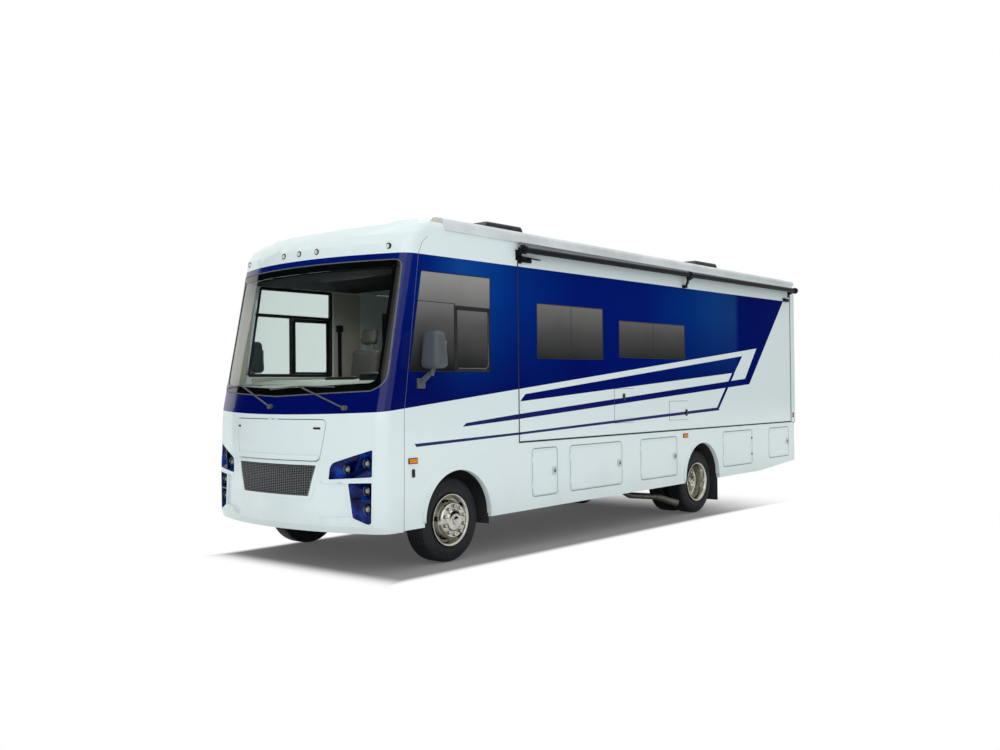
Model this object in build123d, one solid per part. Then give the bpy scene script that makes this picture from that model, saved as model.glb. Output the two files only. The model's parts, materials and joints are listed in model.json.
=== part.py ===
from build123d import *
import math
import os

# A class A motorhome about 30 feet long, on a two-axle truck chassis with twin rear tyres.
# Frame: +X forward, +Y to the vehicle's left, +Z up, millimetres.
# The origin is on the ground, under the middle of its length and width.
# Stations along the body are measured from the front axle, forward positive, by ahead(x).

os.makedirs("parts", exist_ok=True)

# ---------------------------------------------------------------- driving dimensions
overall_length = 9340.0      # front lip to the back of the ladder
body_width = 2560.0
wheelbase = 4914.0
front_overhang = 1285.0      # front axle to the front lip
ladder_standoff = 150.0      # ladder's reach behind the rear wall
roof_front_z = 3420.0
roof_rear_z = 3365.0         # the roof falls to the rear, so that it drains
wall = 45.0                  # laminated side walls, rear wall and entry door
skirt = 40.0                 # moulded lower panels
shell = 28.0                 # moulded front cap
glass = 6.0
panel_gap = 5.0              # round every door, and round the slide-out
running_gap = 0.3            # between turning or sliding faces
barrel_r = 5.0               # hinge barrels, which lie just off the panel they hinge on
hinge_over = 2.0             # how far a barrel's line lies past the gap round its door

# heights above the ground
skirt_low_front = 400.0      # lower edge of the skirts, which rises to the rear
skirt_low_rear = 455.0
tail_low = 545.0             # lower edge at the rear wall
floor_top = 1135.0
floor_thick = 50.0
ceiling = 3290.0             # underside of the roof
slide_low = 1150.0
slide_high = 3195.0

axle_front_x = overall_length / 2 - front_overhang
axle_rear_x = axle_front_x - wheelbase
rear_face_x = -overall_length / 2 + ladder_standoff
half = body_width / 2
floor_low = floor_top - floor_thick

# wheels: 245/70R19.5 tyres on 19.5 inch rims
tyre_r = 421.5
tyre_w = 248.0
rim_r = 247.6                # bead seat
rim_plane = 1186.0           # outer flange of the outer rims
tyre_face = 1200.0           # outer side wall
dual_pitch = 292.0           # between the centres of the twin tyres
kingpin_y = 900.0
spindle_r = 35.0


arch_rear_r = 460.0          # wheel arch round the twin rear tyres
arch_rear_x = -13.0          # from the rear axle
arch_lip = 30.0


def ahead(x):
    return axle_front_x + x


def tail_station(share):
    """X at a share of the way from the rear wheel arch to the rear wall."""
    arch_end = axle_rear_x + arch_rear_x - arch_rear_r - arch_lip
    return arch_end + (rear_face_x - arch_end) * share


def save(node, *solids):
    """Writes the solids of one node, which touch or stand apart, to its file."""
    shapes = []
    for solid in solids:
        shapes.extend(solid.solids())
    whole = shapes[0] if len(shapes) == 1 else Compound(children=shapes)
    export_step(whole, f"parts/{node}.step")


def block(x0, x1, y0, y1, z0, z1):
    """A box between two corners."""
    return Pos((x0 + x1) / 2, (y0 + y1) / 2, (z0 + z1) / 2) * Box(abs(x1 - x0), abs(y1 - y0), abs(z1 - z0))


def side_prism(points, y0, y1, radius=0.0):
    """An outline of (x, z) points, drawn through from y0 to y1."""
    corners = [(x, y0, z) for x, z in points]
    edge = FilletPolyline(*corners, radius=radius, close=True) if radius else Polyline(*corners, close=True)
    return Solid.extrude(Face(Wire(edge.edges())), Vector(0, y1 - y0, 0))


def front_prism(points, x0, x1, radius=0.0):
    """An outline of (y, z) points, drawn through from x0 to x1."""
    corners = [(x0, y, z) for y, z in points]
    edge = FilletPolyline(*corners, radius=radius, close=True) if radius else Polyline(*corners, close=True)
    return Solid.extrude(Face(Wire(edge.edges())), Vector(x1 - x0, 0, 0))


def rod(start, end, r):
    """A round bar between two points."""
    start = Vector(*start)
    run = Vector(*end) - start
    from_end = (Align.CENTER, Align.CENTER, Align.MIN)
    return Plane(origin=start, z_dir=run) * Cylinder(r, run.length, align=from_end)


def disc(x, z, y0, y1, r):
    """A round piece on a line along Y."""
    return rod((x, min(y0, y1), z), (x, max(y0, y1), z), r)


def mirrored(solid):
    return mirror(solid, about=Plane.XZ)


def fuse(pieces):
    whole = pieces[0]
    for piece in pieces[1:]:
        whole = whole + piece
    return whole


def ring_profile(points, x, z):
    """A solid of revolution about a line along Y at (x, z), from (y, r) points."""
    corners = [(x, y, z + r) for y, r in points]
    face = Face(Wire(Polyline(*corners, close=True).edges()))
    return revolve(face, Axis((x, 0, z), (0, 1, 0)), 360)


# ---------------------------------------------------------------- front cap
# The nose is curved in plan: one large arc across the front, and a small arc at each corner.
nose_arc = 3100.0
nose_corner = 160.0
cap_top_round = 150.0
# columns: height, distance of the middle of the nose behind the foremost point
nose_profile = [
    (390.0, 42.0),
    (455.0, 12.0),
    (900.0, 10.0),
    (1100.0, 24.0),
    (1455.0, 35.0),
    (1545.0, 45.0),
    (3030.0, 360.0),
    (3130.0, 374.0),
    (3230.0, 440.0),
    (3330.0, 560.0),
    (3410.0, 760.0),
    (3450.0, 1010.0),
]
brow_from = 3130.0           # above this the cap curves back into the roof
nose_x = overall_length / 2
cap_seam = [                 # rear edge of the cap: distance ahead of the front axle, height
    (730.0, 390.0),
    (711.0, 1535.0),
    (507.0, 3028.0),
    (455.0, 3147.0),
    (355.0, 3230.0),
    (229.0, ceiling),
    (150.0, ceiling),
]
cap_top = nose_profile[-1][0]


def seam_x(z):
    """X of the cap's rear edge at a height below the windscreen."""
    (x0, z0), (x1, z1) = cap_seam[0], cap_seam[1]
    return ahead(x0 + (x1 - x0) * (z - z0) / (z1 - z0))


def nose_outline(front, inset, back, z):
    """The plan of the nose at one height: its face, from the front arc to a straight back."""
    arc = nose_arc - inset
    corner = nose_corner - inset
    side = half - inset
    hub_x = front - arc
    corner_x = hub_x + math.sqrt((arc - corner) ** 2 - (side - corner) ** 2)
    turn = math.atan2(side - corner, corner_x - hub_x)
    tangent = (hub_x + arc * math.cos(turn), arc * math.sin(turn))
    middle = (turn + math.pi / 2) / 2
    knee = (corner_x + corner * math.cos(middle), side - corner + corner * math.sin(middle))
    left = Vector(tangent[0], tangent[1], z)
    right = Vector(tangent[0], -tangent[1], z)
    edges = [
        ThreePointArc(right, (front, 0, z), left).edge(),
        ThreePointArc(left, (knee[0], knee[1], z), (corner_x, side, z)).edge(),
        Line((corner_x, side, z), (back, side, z)).edge(),
        Line((back, side, z), (back, -side, z)).edge(),
        Line((back, -side, z), (corner_x, -side, z)).edge(),
        ThreePointArc((corner_x, -side, z), (knee[0], -knee[1], z), right).edge(),
    ]
    return Face(Wire(edges))


def nose_block(inset, low=None, high=None):
    """The nose as a solid, its skin moved inwards by inset, between two heights."""
    back = ahead(-300.0)
    stations = []
    for z, behind in nose_profile:
        drop = inset if z > brow_from else 0.0
        stations.append((z - drop, nose_x - behind - inset))
    slabs = []
    for (z0, x0), (z1, x1) in zip(stations, stations[1:]):
        if low is not None and z1 <= low or high is not None and z0 >= high:
            continue
        lower = z0 if low is None else max(z0, low)
        upper = z1 if high is None else min(z1, high)
        slope = (x1 - x0) / (z1 - z0)
        start = x0 + slope * (lower - z0)
        rise = upper - lower
        face = nose_outline(start, inset, back, lower)
        slabs.append(Solid.extrude(face, Vector(slope * rise, 0, rise)))
    return fuse(slabs)


def nose_front(z):
    """Where the middle of the nose is at a height."""
    for (z0, b0), (z1, b1) in zip(nose_profile, nose_profile[1:]):
        if z0 <= z <= z1:
            return nose_x - b0 - (b1 - b0) * (z - z0) / (z1 - z0)
    return nose_x


def nose_surface(y, z):
    """X of the nose's skin at a width and height, on its main arc."""
    return nose_front(z) - nose_arc + math.sqrt(nose_arc ** 2 - y ** 2)


# openings in the cap, as (y, z) outlines of the left half or the whole
screen_outline = [(-1230.0, 2962.0), (1230.0, 2962.0), (1246.0, 1850.0), (1130.0, 1722.0), (0.0, 1676.0),
                  (-1130.0, 1722.0), (-1246.0, 1850.0)]
screen_round = 60.0
screen_back = ahead(600.0)   # behind the glass where it wraps round the nose's corners
grille_outline = [(-600.0, 1038.0), (600.0, 1038.0), (498.0, 716.0), (-498.0, 716.0)]
hatch_outline = [(-702.0, 1447.0), (702.0, 1447.0), (622.0, 1062.0), (-622.0, 1062.0)]
upper_pod = [(738.0, 884.0), (748.0, 1010.0), (781.0, 1056.0), (1185.0, 1182.0), (1190.0, 915.0)]
lower_pod = [(945.0, 864.0), (1188.0, 874.0), (1180.0, 490.0), (1137.0, 476.0), (988.0, 536.0)]
pod_round = 6.0
hatch_round = 45.0
hatch_gap = 8.0              # wider than the other doors', as the curved panel swings down at its ends


def grown(outline, by):
    """An outline moved outwards all round by a distance."""
    count = len(outline)
    area = sum(outline[i][0] * outline[(i + 1) % count][1] - outline[(i + 1) % count][0] * outline[i][1]
               for i in range(count))
    way = 1.0 if area > 0 else -1.0
    lines = []
    for i in range(count):
        (a, b), (c, d) = outline[i], outline[(i + 1) % count]
        length = math.hypot(c - a, d - b)
        normal = (way * (d - b) / length, -way * (c - a) / length)
        lines.append(((a + normal[0] * by, b + normal[1] * by), (c - a, d - b)))
    result = []
    for i in range(count):
        (p, u), (q, v) = lines[i - 1], lines[i]
        cross = u[0] * v[1] - u[1] * v[0]
        along = ((q[0] - p[0]) * v[1] - (q[1] - p[1]) * v[0]) / cross
        result.append((p[0] + along * u[0], p[1] + along * u[1]))
    return result


def flipped(outline):
    return [(-y, z) for y, z in reversed(outline)]


far_front = nose_x + 50.0
near_cab = ahead(700.0)
nose_outer = nose_block(0.0)
nose_inner = nose_block(shell)
cap_low = 200.0
round_top = front_prism([(-half, cap_low), (half, cap_low), (half, cap_top), (-half, cap_top)],
                        ahead(-400), far_front)
top_edges = round_top.edges().filter_by(Axis.X).sort_by(Axis.Z)[-2:]
round_top = fillet(top_edges, cap_top_round)
inner_top_edges_r = cap_top_round - shell
inner_half = half - shell
inner_top = cap_top - shell
round_inner = front_prism(
    [(-inner_half, cap_low), (inner_half, cap_low), (inner_half, inner_top), (-inner_half, inner_top)],
    ahead(-400), far_front)
round_inner = fillet(round_inner.edges().filter_by(Axis.X).sort_by(Axis.Z)[-2:], inner_top_edges_r)
cap_region = side_prism(
    [(ahead(x), z) for x, z in cap_seam] + [(ahead(cap_seam[-1][0]), cap_top + 50), (far_front, cap_top + 50),
                                            (far_front, nose_profile[0][0])],
    -half - 10, half + 10)
cap_void = nose_inner & round_inner
cap_skin = (nose_outer & round_top & cap_region) - cap_void

screen_cut = front_prism(screen_outline, screen_back, far_front, screen_round)
grille_cut = front_prism(grille_outline, near_cab, far_front, 15.0)
hatch_cut = front_prism(grown(hatch_outline, hatch_gap), near_cab, far_front, hatch_round + hatch_gap)
pod_cuts = []
for outline in (upper_pod, lower_pod):
    for shape in (outline, flipped(outline)):
        pod_cuts.append(front_prism(shape, ahead(860), far_front, pod_round))

front_cap = cap_skin - screen_cut - grille_cut - hatch_cut
for cut in pod_cuts:
    front_cap = front_cap - cut
save("front_cap", front_cap)

# windscreen: one curved pane, let into its opening
screen_set = 6.0             # the pane's outer face behind the cap's skin
screen_low = 1600.0
screen_high = 3020.0
pane_outer = nose_block(screen_set, screen_low, screen_high)
pane_inner = nose_block(screen_set + glass, screen_low - 5, screen_high + 5)
pane_outline = front_prism(grown(screen_outline, -running_gap), screen_back, far_front, screen_round)
windscreen = (pane_outer - pane_inner) & pane_outline
save("windscreen", windscreen)

# access hatch in the nose, hinged along its top edge, with a lip at its lower edge
hatch_lip = 22.0
hatch_lip_high = 1110.0
hatch_low = hatch_outline[2][1]
hatch_top = hatch_outline[0][1]
barrel_length = 40.0
hatch_skin = 8.0             # its rim, which a narrower inner layer stiffens
hatch_inset = 25.0
hatch_prism = front_prism(hatch_outline, near_cab, far_front, hatch_round)
hatch_core = front_prism(grown(hatch_outline, -hatch_inset), near_cab, far_front, hatch_round - hatch_inset)
nose_slab = nose_block(0.0, 1000.0, 1500.0)
hatch_panel = (nose_slab - nose_block(hatch_skin, 990.0, 1510.0)) & hatch_prism
hatch_panel = hatch_panel + ((nose_slab - nose_block(shell, 990.0, 1510.0)) & hatch_core)
lip_face = nose_outline(nose_x, 0.0, ahead(0), hatch_low)
lip_void = nose_outline(nose_front(hatch_lip_high) - 3.0, 0.0, ahead(-50), hatch_low)
lip_rise = hatch_lip_high - hatch_low
lip = Solid.extrude(lip_face, Vector(-4.0, 0, lip_rise)) - Solid.extrude(lip_void, Vector(0, 0, lip_rise))
lip = lip & hatch_prism
hatch_hinge_z = hatch_top + hatch_gap + hinge_over
hatch_hinge_x = nose_front(hatch_hinge_z) + barrel_r + running_gap
hatch = hatch_panel + lip
for y in (-50.0, 50.0):
    barrel = rod((hatch_hinge_x, y - barrel_length / 2, hatch_hinge_z),
                 (hatch_hinge_x, y + barrel_length / 2, hatch_hinge_z), barrel_r)
    leaf_x = nose_front(hatch_top - 26) + running_gap
    leaf = block(leaf_x, leaf_x + barrel_r, y - barrel_length / 2, y + barrel_length / 2,
                 hatch_top - 26, hatch_hinge_z - 1)
    leaf = leaf + block(leaf_x - 5, leaf_x + 1, y - barrel_length / 2, y + barrel_length / 2,
                        hatch_top - 26, hatch_top - 2)
    hatch = hatch + barrel + leaf
save("front_hatch", hatch)

# grille: a frame with slats, set back in its opening
grille_set = 22.0
grille_thick = 24.0
slats = 13
slat_high = 9.0
grille_frame_w = 18.0
grille_low = grille_outline[2][1]
grille_high = grille_outline[0][1]
grille_prism = front_prism(grown(grille_outline, -running_gap), near_cab, far_front, 15.0)
grille_hole = front_prism(grown(grille_outline, -grille_frame_w), near_cab - 10, far_front + 10, 8.0)
grille_curve = nose_block(grille_set, 650.0, 1090.0) - nose_block(grille_set + grille_thick, 640.0, 1095.0)
grille_ring = (grille_curve & grille_prism) - grille_hole
slat_step = (grille_high - grille_low) / (slats + 1)
slat_in = 6.0                # the slats are thinner than the frame by this much on each face
slat_curve = nose_block(grille_set + slat_in, 650.0, 1090.0)
slat_curve = slat_curve - nose_block(grille_set + grille_thick - slat_in, 640.0, 1095.0)
slat_set = []
for i in range(slats):
    z = grille_low + slat_step * (i + 1)
    slat_set.append(block(near_cab, far_front, -half, half, z - slat_high / 2, z + slat_high / 2))
rib_count = 7
for i in range(rib_count):
    y = (i - (rib_count - 1) / 2) * 150.0
    slat_set.append(block(near_cab, far_front, y - 5, y + 5, grille_low - 5, grille_high + 5))
slat_reach = front_prism(grown(grille_outline, -grille_frame_w / 2), near_cab, far_front)
slat_field = slat_curve & fuse(slat_set) & slat_reach
grille = grille_ring + slat_field
save("grille", grille)

# lamp pods: blocks that fill the pod openings, with a round lamp in each pocket
pod_set = 14.0
pod_depth = 75.0             # at their outer ends, where the nose turns back furthest
lamp_r = 44.0
lamp_pocket_r = 60.0
lamp_pocket_depth = 40.0
lamp_length = 60.0
# columns: y, z of each lamp on the left
lamp_places = [(905.0, 985.0), (1098.0, 1042.0), (1105.0, 790.0), (1105.0, 618.0)]
pods = []
lamps = []
pod_face = nose_block(pod_set, 430.0, 1240.0)
pod_end_y = max(y for y, z in upper_pod)
corner_hub_x = nose_x - nose_arc + math.sqrt((nose_arc - nose_corner) ** 2 - (half - nose_corner) ** 2)
pod_end_x = corner_hub_x + math.sqrt(nose_corner ** 2 - (pod_end_y - half + nose_corner) ** 2)
for outline in (upper_pod, lower_pod):
    pod = front_prism(grown(outline, -running_gap), pod_end_x - pod_depth, far_front, pod_round)
    pods.append(pod & pod_face)
for y, z in lamp_places:
    face_x = nose_surface(y, z) - pod_set
    if y > half - nose_corner:
        face_x = face_x - 10.0
    pocket = rod((face_x - lamp_pocket_depth, y, z), (face_x + 80, y, z), lamp_pocket_r)
    back_x = face_x - lamp_pocket_depth
    lamp = rod((back_x, y, z), (back_x + lamp_length / 2, y, z), lamp_r)
    pods = [pod - pocket for pod in pods]
    lamps.append(lamp)
save("headlamp_pods", *pods, *[mirrored(pod) for pod in pods])
save("headlamps", *lamps, *[mirrored(lamp) for lamp in lamps])

# ---------------------------------------------------------------- windows in the side walls
# columns: name, side, front top x, rear top x, rear low x, front low x, low z, high z
cab_window = [(471.0, 2875.0), (-547.0, 2875.0), (-536.0, 1896.0), (645.0, 1896.0)]
galley_window = (ahead(-2950.0), ahead(-4000.0), 2060.0, 2660.0)
bath_window = (ahead(-4500.0), ahead(-4900.0), 2350.0, 2700.0)
bed_window = (tail_station(0.11), tail_station(0.52), 2060.0, 2560.0)
slide_windows = [
    (ahead(-1315.0), ahead(-2590.0), 2048.0, 2658.0),
    (ahead(-2925.0), ahead(-4500.0), 2080.0, 2536.0),
]
window_round = 18.0
pane_set = 4.0


def oblong(front, rear, low, high):
    return [(front, high), (rear, high), (rear, low), (front, low)]


def pane(outline, side, outer):
    """Window glass, set in from the wall's outer face at y = side * outer."""
    return side_prism(outline, side * (outer - pane_set - glass), side * (outer - pane_set), window_round)


cab_outline = [(ahead(x), z) for x, z in cab_window]

# ---------------------------------------------------------------- slide-out room on the left
slide_front = -995.0         # front edge of the slide-out's face, from the front axle
slide_rear_post = 110.0      # wall left behind the slide-out
slide_depth = 640.0          # how far the room reaches into the coach
slide_travel = 560.0
slide_wall = 40.0
slide_x1 = ahead(slide_front)
slide_x0 = rear_face_x + slide_rear_post + 45.0
slide_inner_y = half - slide_depth

room = block(slide_x0, slide_x1, slide_inner_y, half, slide_low, slide_high)
room_void = block(slide_x0 + slide_wall, slide_x1 - slide_wall, slide_inner_y - 10, half - wall,
                  slide_low + slide_wall, slide_high - slide_wall)
slideout = room - room_void
for front, rear, low, high in slide_windows:
    pane_hole = side_prism(oblong(front, rear, low, high), half - wall - 20, half + 20, window_round)
    slideout = slideout - pane_hole
save("slideout_room", slideout)
save("slideout_windows", *[pane(oblong(*row), 1, half) for row in slide_windows])

# topper: a roller tube on brackets on the slide-out, with fabric from it to the coach's rail
tube_r = 32.0
tube_y = half + 115.0
tube_z = slide_high
tube_front = ahead(slide_front) + 45.0
tube_rear = slide_x0 + 30.0
rail_y = half + 16.0
rail_high = 18.0
rail_front_z = 3304.0
rail_rear_z = 3240.0
rail_front_x = ahead(125.0)
bracket_w = 36.0
end_collar = 8.0             # the tube's end fittings stand this far out round it
bracket_in = 22.0
mid_bracket_x = (tube_front + tube_rear) / 2 - 250.0
roller = [rod((tube_rear, tube_y, tube_z), (tube_front, tube_y, tube_z), tube_r)]
for x in (tube_front - bracket_in, mid_bracket_x, tube_rear + bracket_in):
    plate = block(x - 18, x + 18, half, half + 10, tube_z - 100, tube_z + 10)
    arm_side = [(half, tube_z - 70), (half, tube_z - 35), (tube_y - 5, tube_z + 12), (tube_y + 5, tube_z - 12)]
    arm = front_prism(arm_side, x - bracket_w / 2, x + bracket_w / 2)
    roller.extend([plate, arm])
    if x != mid_bracket_x:
        collar_a = (x - bracket_w / 2, tube_y, tube_z)
        collar_b = (x + bracket_w / 2, tube_y, tube_z)
        roller.append(rod(collar_a, collar_b, tube_r + end_collar))
save("topper_roller", fuse(roller))


def rail_z(x):
    share = (rail_front_x - x) / (rail_front_x - rear_face_x)
    return rail_front_z + (rail_rear_z - rail_front_z) * share


fabric_thick = 3.0
fabric_front = tube_front - 45.0
fabric_rear = tube_rear + 45.0
fabric_drop = 2.0            # the cloth lies this far under the top of its rail
tube_top = tube_z + tube_r + running_gap + 0.5


def fabric_end(x):
    """The cloth's section at one end, from its rail to the top of the tube."""
    rail_top = rail_z(x) - fabric_drop
    section = [(rail_y + running_gap, rail_top), (tube_y, tube_top + fabric_thick),
               (tube_y, tube_top), (rail_y + running_gap, rail_top - fabric_thick)]
    return Face(Wire(Polyline(*[(x, y, z) for y, z in section], close=True).edges())).outer_wire()


save("topper_fabric", Solid.make_loft([fabric_end(fabric_front), fabric_end(fabric_rear)], ruled=True))

# ---------------------------------------------------------------- walls, roof and floor
wall_front = [(ahead(x), z) for x, z in cap_seam[1:6]]
seam_at_floor = seam_x(floor_top)
rear_wall_x = rear_face_x + wall
wall_side = [(seam_at_floor, floor_top)] + wall_front + [(rear_wall_x, ceiling), (rear_wall_x, floor_top)]
wall_plain = side_prism(wall_side, half - wall, half)
left_wall = wall_plain - side_prism(cab_outline, half - wall - 10, half + 10, window_round)
left_wall = left_wall - block(slide_x0 - panel_gap, slide_x1 + panel_gap, half - wall - 10, half + 10,
                              slide_low - panel_gap, slide_high + panel_gap)
save("left_wall", left_wall)

door_front = -1255.0         # entry door, from the front axle
door_wide = 690.0
door_low = 500.0
door_high = 2900.0
door_round = 70.0
door_x1 = ahead(door_front)
door_x0 = door_x1 - door_wide
door_outline = [(door_x1, door_high), (door_x0, door_high), (door_x0, door_low), (door_x1, door_low)]
door_hole = side_prism(grown(door_outline, panel_gap), -half - 20, -half + wall + 20, door_round + panel_gap)
cab_hole = side_prism(cab_outline, half - wall - 10, half + 10, window_round)
right_wall = mirrored(wall_plain) - mirrored(cab_hole)
right_wall = right_wall - door_hole
for row in (galley_window, bath_window, bed_window):
    right_wall = right_wall - side_prism(oblong(*row), -half - 20, -half + wall + 20, window_round)
save("right_wall", right_wall)

panes = [pane(cab_outline, 1, half), pane(cab_outline, -1, half)]
for row in (galley_window, bath_window, bed_window):
    panes.append(pane(oblong(*row), -1, half))
save("side_windows", *panes)

rear_corner = 60.0
rear_shape = block(rear_face_x, rear_face_x + rear_corner + 60, -half, half, tail_low, ceiling)
rear_shape = fillet(rear_shape.edges().filter_by(Axis.Z).sort_by(Axis.X)[:2], rear_corner)
rear_wall = rear_shape & block(rear_face_x, rear_wall_x, -half, half, tail_low, ceiling)
save("rear_wall", rear_wall)

roof_edge = 45.0
cap_back_x = ahead(cap_seam[-1][0])
roof_side = [(rear_face_x, ceiling), (cap_back_x, ceiling), (cap_back_x, roof_front_z), (rear_face_x, roof_rear_z)]


def roof_z(x):
    """The roof's upper face at a station."""
    return roof_front_z + (roof_rear_z - roof_front_z) * (cap_back_x - x) / (cap_back_x - rear_face_x)


roof_wedge = side_prism(roof_side, -half, half)
roof = roof_wedge
roof_long = [edge for edge in roof.edges() if edge.length > 2000 and edge.center().Z > ceiling + 20
             and abs(edge.center().Y) > half - 1]
roof = fillet(roof_long, roof_edge)

drip_rails = []
for side in (1, -1):
    ends = [(rail_front_x, rail_front_z), (rear_face_x + 70, rail_z(rear_face_x + 70))]
    outline = [(ends[0][0], ends[0][1] + rail_high / 2), (ends[1][0], ends[1][1] + rail_high / 2),
               (ends[1][0], ends[1][1] - rail_high / 2), (ends[0][0], ends[0][1] - rail_high / 2)]
    drip_rails.append(side_prism(outline, side * half, side * rail_y))
save("roof", roof, *drip_rails)

# floor, with a stairwell inside the entry door
stair_inner = -700.0
stair_x0 = door_x0 - 10.0
stair_x1 = door_x1 + 10.0
floor_front = 650.0
floor = block(rear_wall_x, ahead(floor_front), -half + skirt, half - skirt, floor_low, floor_top)
floor = floor - block(stair_x0, stair_x1, -half, stair_inner, floor_low - 10, floor_top + 10)
strip_w = 60.0
strips = 7
for i in range(strips):
    x = slide_x0 + 200 + (slide_x1 - slide_x0 - 400) * i / (strips - 1)
    floor = floor + block(x - strip_w / 2, x + strip_w / 2, slide_inner_y + 20, half - wall, floor_top,
                          slide_low - running_gap)
save("floor", floor)

# ---------------------------------------------------------------- lower body
# columns: x of the front edge and of the rear edge, low z, high z
left_lockers = [
    (ahead(-1209.0), ahead(-1667.0), 548.0, 1068.0),
    (ahead(-1900.0), ahead(-2964.0), 552.0, 1066.0),
    (ahead(-3380.0), ahead(-4262.0), 562.0, 1068.0),
    (tail_station(0.04), tail_station(0.40), 583.0, 1074.0),
    (tail_station(0.62), tail_station(0.90), 625.0, 1074.0),
]
right_lockers = [
    (ahead(-2330.0), ahead(-3230.0), 552.0, 1066.0),
    (ahead(-3400.0), ahead(-4262.0), 562.0, 1068.0),
    (tail_station(0.12), tail_station(0.56), 600.0, 1074.0),
]
locker_round = 45.0
locker_thick = 30.0
arch_front_r = 485.0
arch_front_z = 443.0
arch_front_x = -35.0
arch_rear_z = 500.0
arch_proud = 12.0
kink_x = tail_station(0.5)   # behind this the skirt's lower edge rises to the tail

skirt_top = floor_top
skirt_front = seam_x(skirt_low_front)
skirt_low = [(skirt_front, skirt_low_front), (kink_x, skirt_low_rear), (rear_wall_x, tail_low)]
skirt_outline = [(seam_at_floor, skirt_top), skirt_low[0], skirt_low[1], skirt_low[2], (rear_wall_x, skirt_top)]
arches = [(ahead(arch_front_x), arch_front_z, arch_front_r), (axle_rear_x + arch_rear_x, arch_rear_z, arch_rear_r)]
left_skirt = side_prism(skirt_outline, half - skirt, half)
for x, z, r in arches:
    flare = disc(x, z, half - skirt, half + arch_proud, r + arch_lip) & side_prism(
        [(x - r - 80, skirt_top)] + [(x - r - 80, skirt_low_rear + 5), (x + r + 80, skirt_low_rear + 5),
                                     (x + r + 80, skirt_top)], half - skirt, half + arch_proud)
    left_skirt = left_skirt + flare
for x, z, r in arches:
    left_skirt = left_skirt - disc(x, z, half - skirt - 10, half + 40, r)
    left_skirt = left_skirt - block(x - r, x + r, half - skirt - 10, half + 40, 200, z)
right_skirt = mirrored(left_skirt)


def locker_outline(row):
    front, rear, low, high = row
    return [(front, high), (rear, high), (rear, low), (front, low)]


def locker_hole(row):
    hole = grown(locker_outline(row), panel_gap)
    return side_prism(hole, half - skirt - 20, half + 20, locker_round + panel_gap)


for row in left_lockers:
    left_skirt = left_skirt - locker_hole(row)
for row in right_lockers:
    right_skirt = right_skirt - mirrored(locker_hole(row))
right_skirt = right_skirt - door_hole
save("skirts", left_skirt, right_skirt)

latch_r = 26.0
latch_in = 65.0
latch_proud = 8.0
hinge_length = 60.0
bin_wall = 10.0
bin_inner_y = 640.0


def locker_door(row):
    """A door in the left skirt: its panel, latch and two hinge barrels on its front edge."""
    front, rear, low, high = row
    panel = side_prism(locker_outline(row), half - locker_thick, half, locker_round)
    hinge_x = front + panel_gap + hinge_over
    hinge_y = half + barrel_r + running_gap
    for z in (low + 120, high - 120):
        barrel = rod((hinge_x, hinge_y, z - hinge_length / 2), (hinge_x, hinge_y, z + hinge_length / 2), barrel_r)
        leaf = block(hinge_x - 26, hinge_x - 1, half + running_gap, half + barrel_r,
                     z - hinge_length / 2, z + hinge_length / 2)
        panel = panel + barrel + leaf + block(hinge_x - 26, front - 1, half - 2, half + 2,
                                              z - hinge_length / 2, z + hinge_length / 2)
    return panel + disc(rear + latch_in, (low + high) / 2, half - 5, half + latch_proud, latch_r)


def locker_bin(row):
    """The compartment behind a door: a back, two ends and a bottom, hung from the floor."""
    front, rear, low, high = row
    x1 = front + 15.0
    x0 = rear - 15.0
    outer = block(x0, x1, bin_inner_y, half - skirt, low - 20, floor_low)
    inside_x = (x0 + bin_wall, x1 - bin_wall)
    return outer - block(*inside_x, bin_inner_y + bin_wall, half, low - 20 + bin_wall, floor_low + 10)


bins = []
for i, row in enumerate(left_lockers):
    save(f"locker_door_left_{i + 1}", locker_door(row))
    bins.append(locker_bin(row))
for i, row in enumerate(right_lockers):
    save(f"locker_door_right_{i + 1}", mirrored(locker_door(row)))
    bins.append(mirrored(locker_bin(row)))
save("storage_bins", *bins)

# entry door on the right, hinged on its front edge
door_glass = [(door_x1 - 120, 2680.0), (door_x0 + 120, 2680.0), (door_x0 + 120, 2020.0), (door_x1 - 120, 2020.0)]
entry_door = side_prism(door_outline, -half, -half + skirt, door_round)
entry_door = entry_door - side_prism(door_glass, -half - 20, -half + wall + 20, window_round)
door_hinge_x = door_x1 + panel_gap + hinge_over
door_hinge_y = -half - barrel_r - running_gap
for z in (door_low + 300, (door_low + door_high) / 2, door_high - 300):
    barrel = rod((door_hinge_x, door_hinge_y, z - 50), (door_hinge_x, door_hinge_y, z + 50), barrel_r)
    leaf = block(door_hinge_x - 30, door_hinge_x - 1, -half - barrel_r, -half - running_gap, z - 50, z + 50)
    leaf = leaf + block(door_hinge_x - 30, door_x1 - 1, -half - 2, -half + 2, z - 50, z + 50)
    entry_door = entry_door + barrel + leaf
handle_x = door_x0 + 70
entry_door = entry_door + block(handle_x - 45, handle_x + 45, -half - 14, -half + 5, 1560, 1700)
save("entry_door", entry_door)
save("entry_door_window", pane(door_glass, -1, half))

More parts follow.
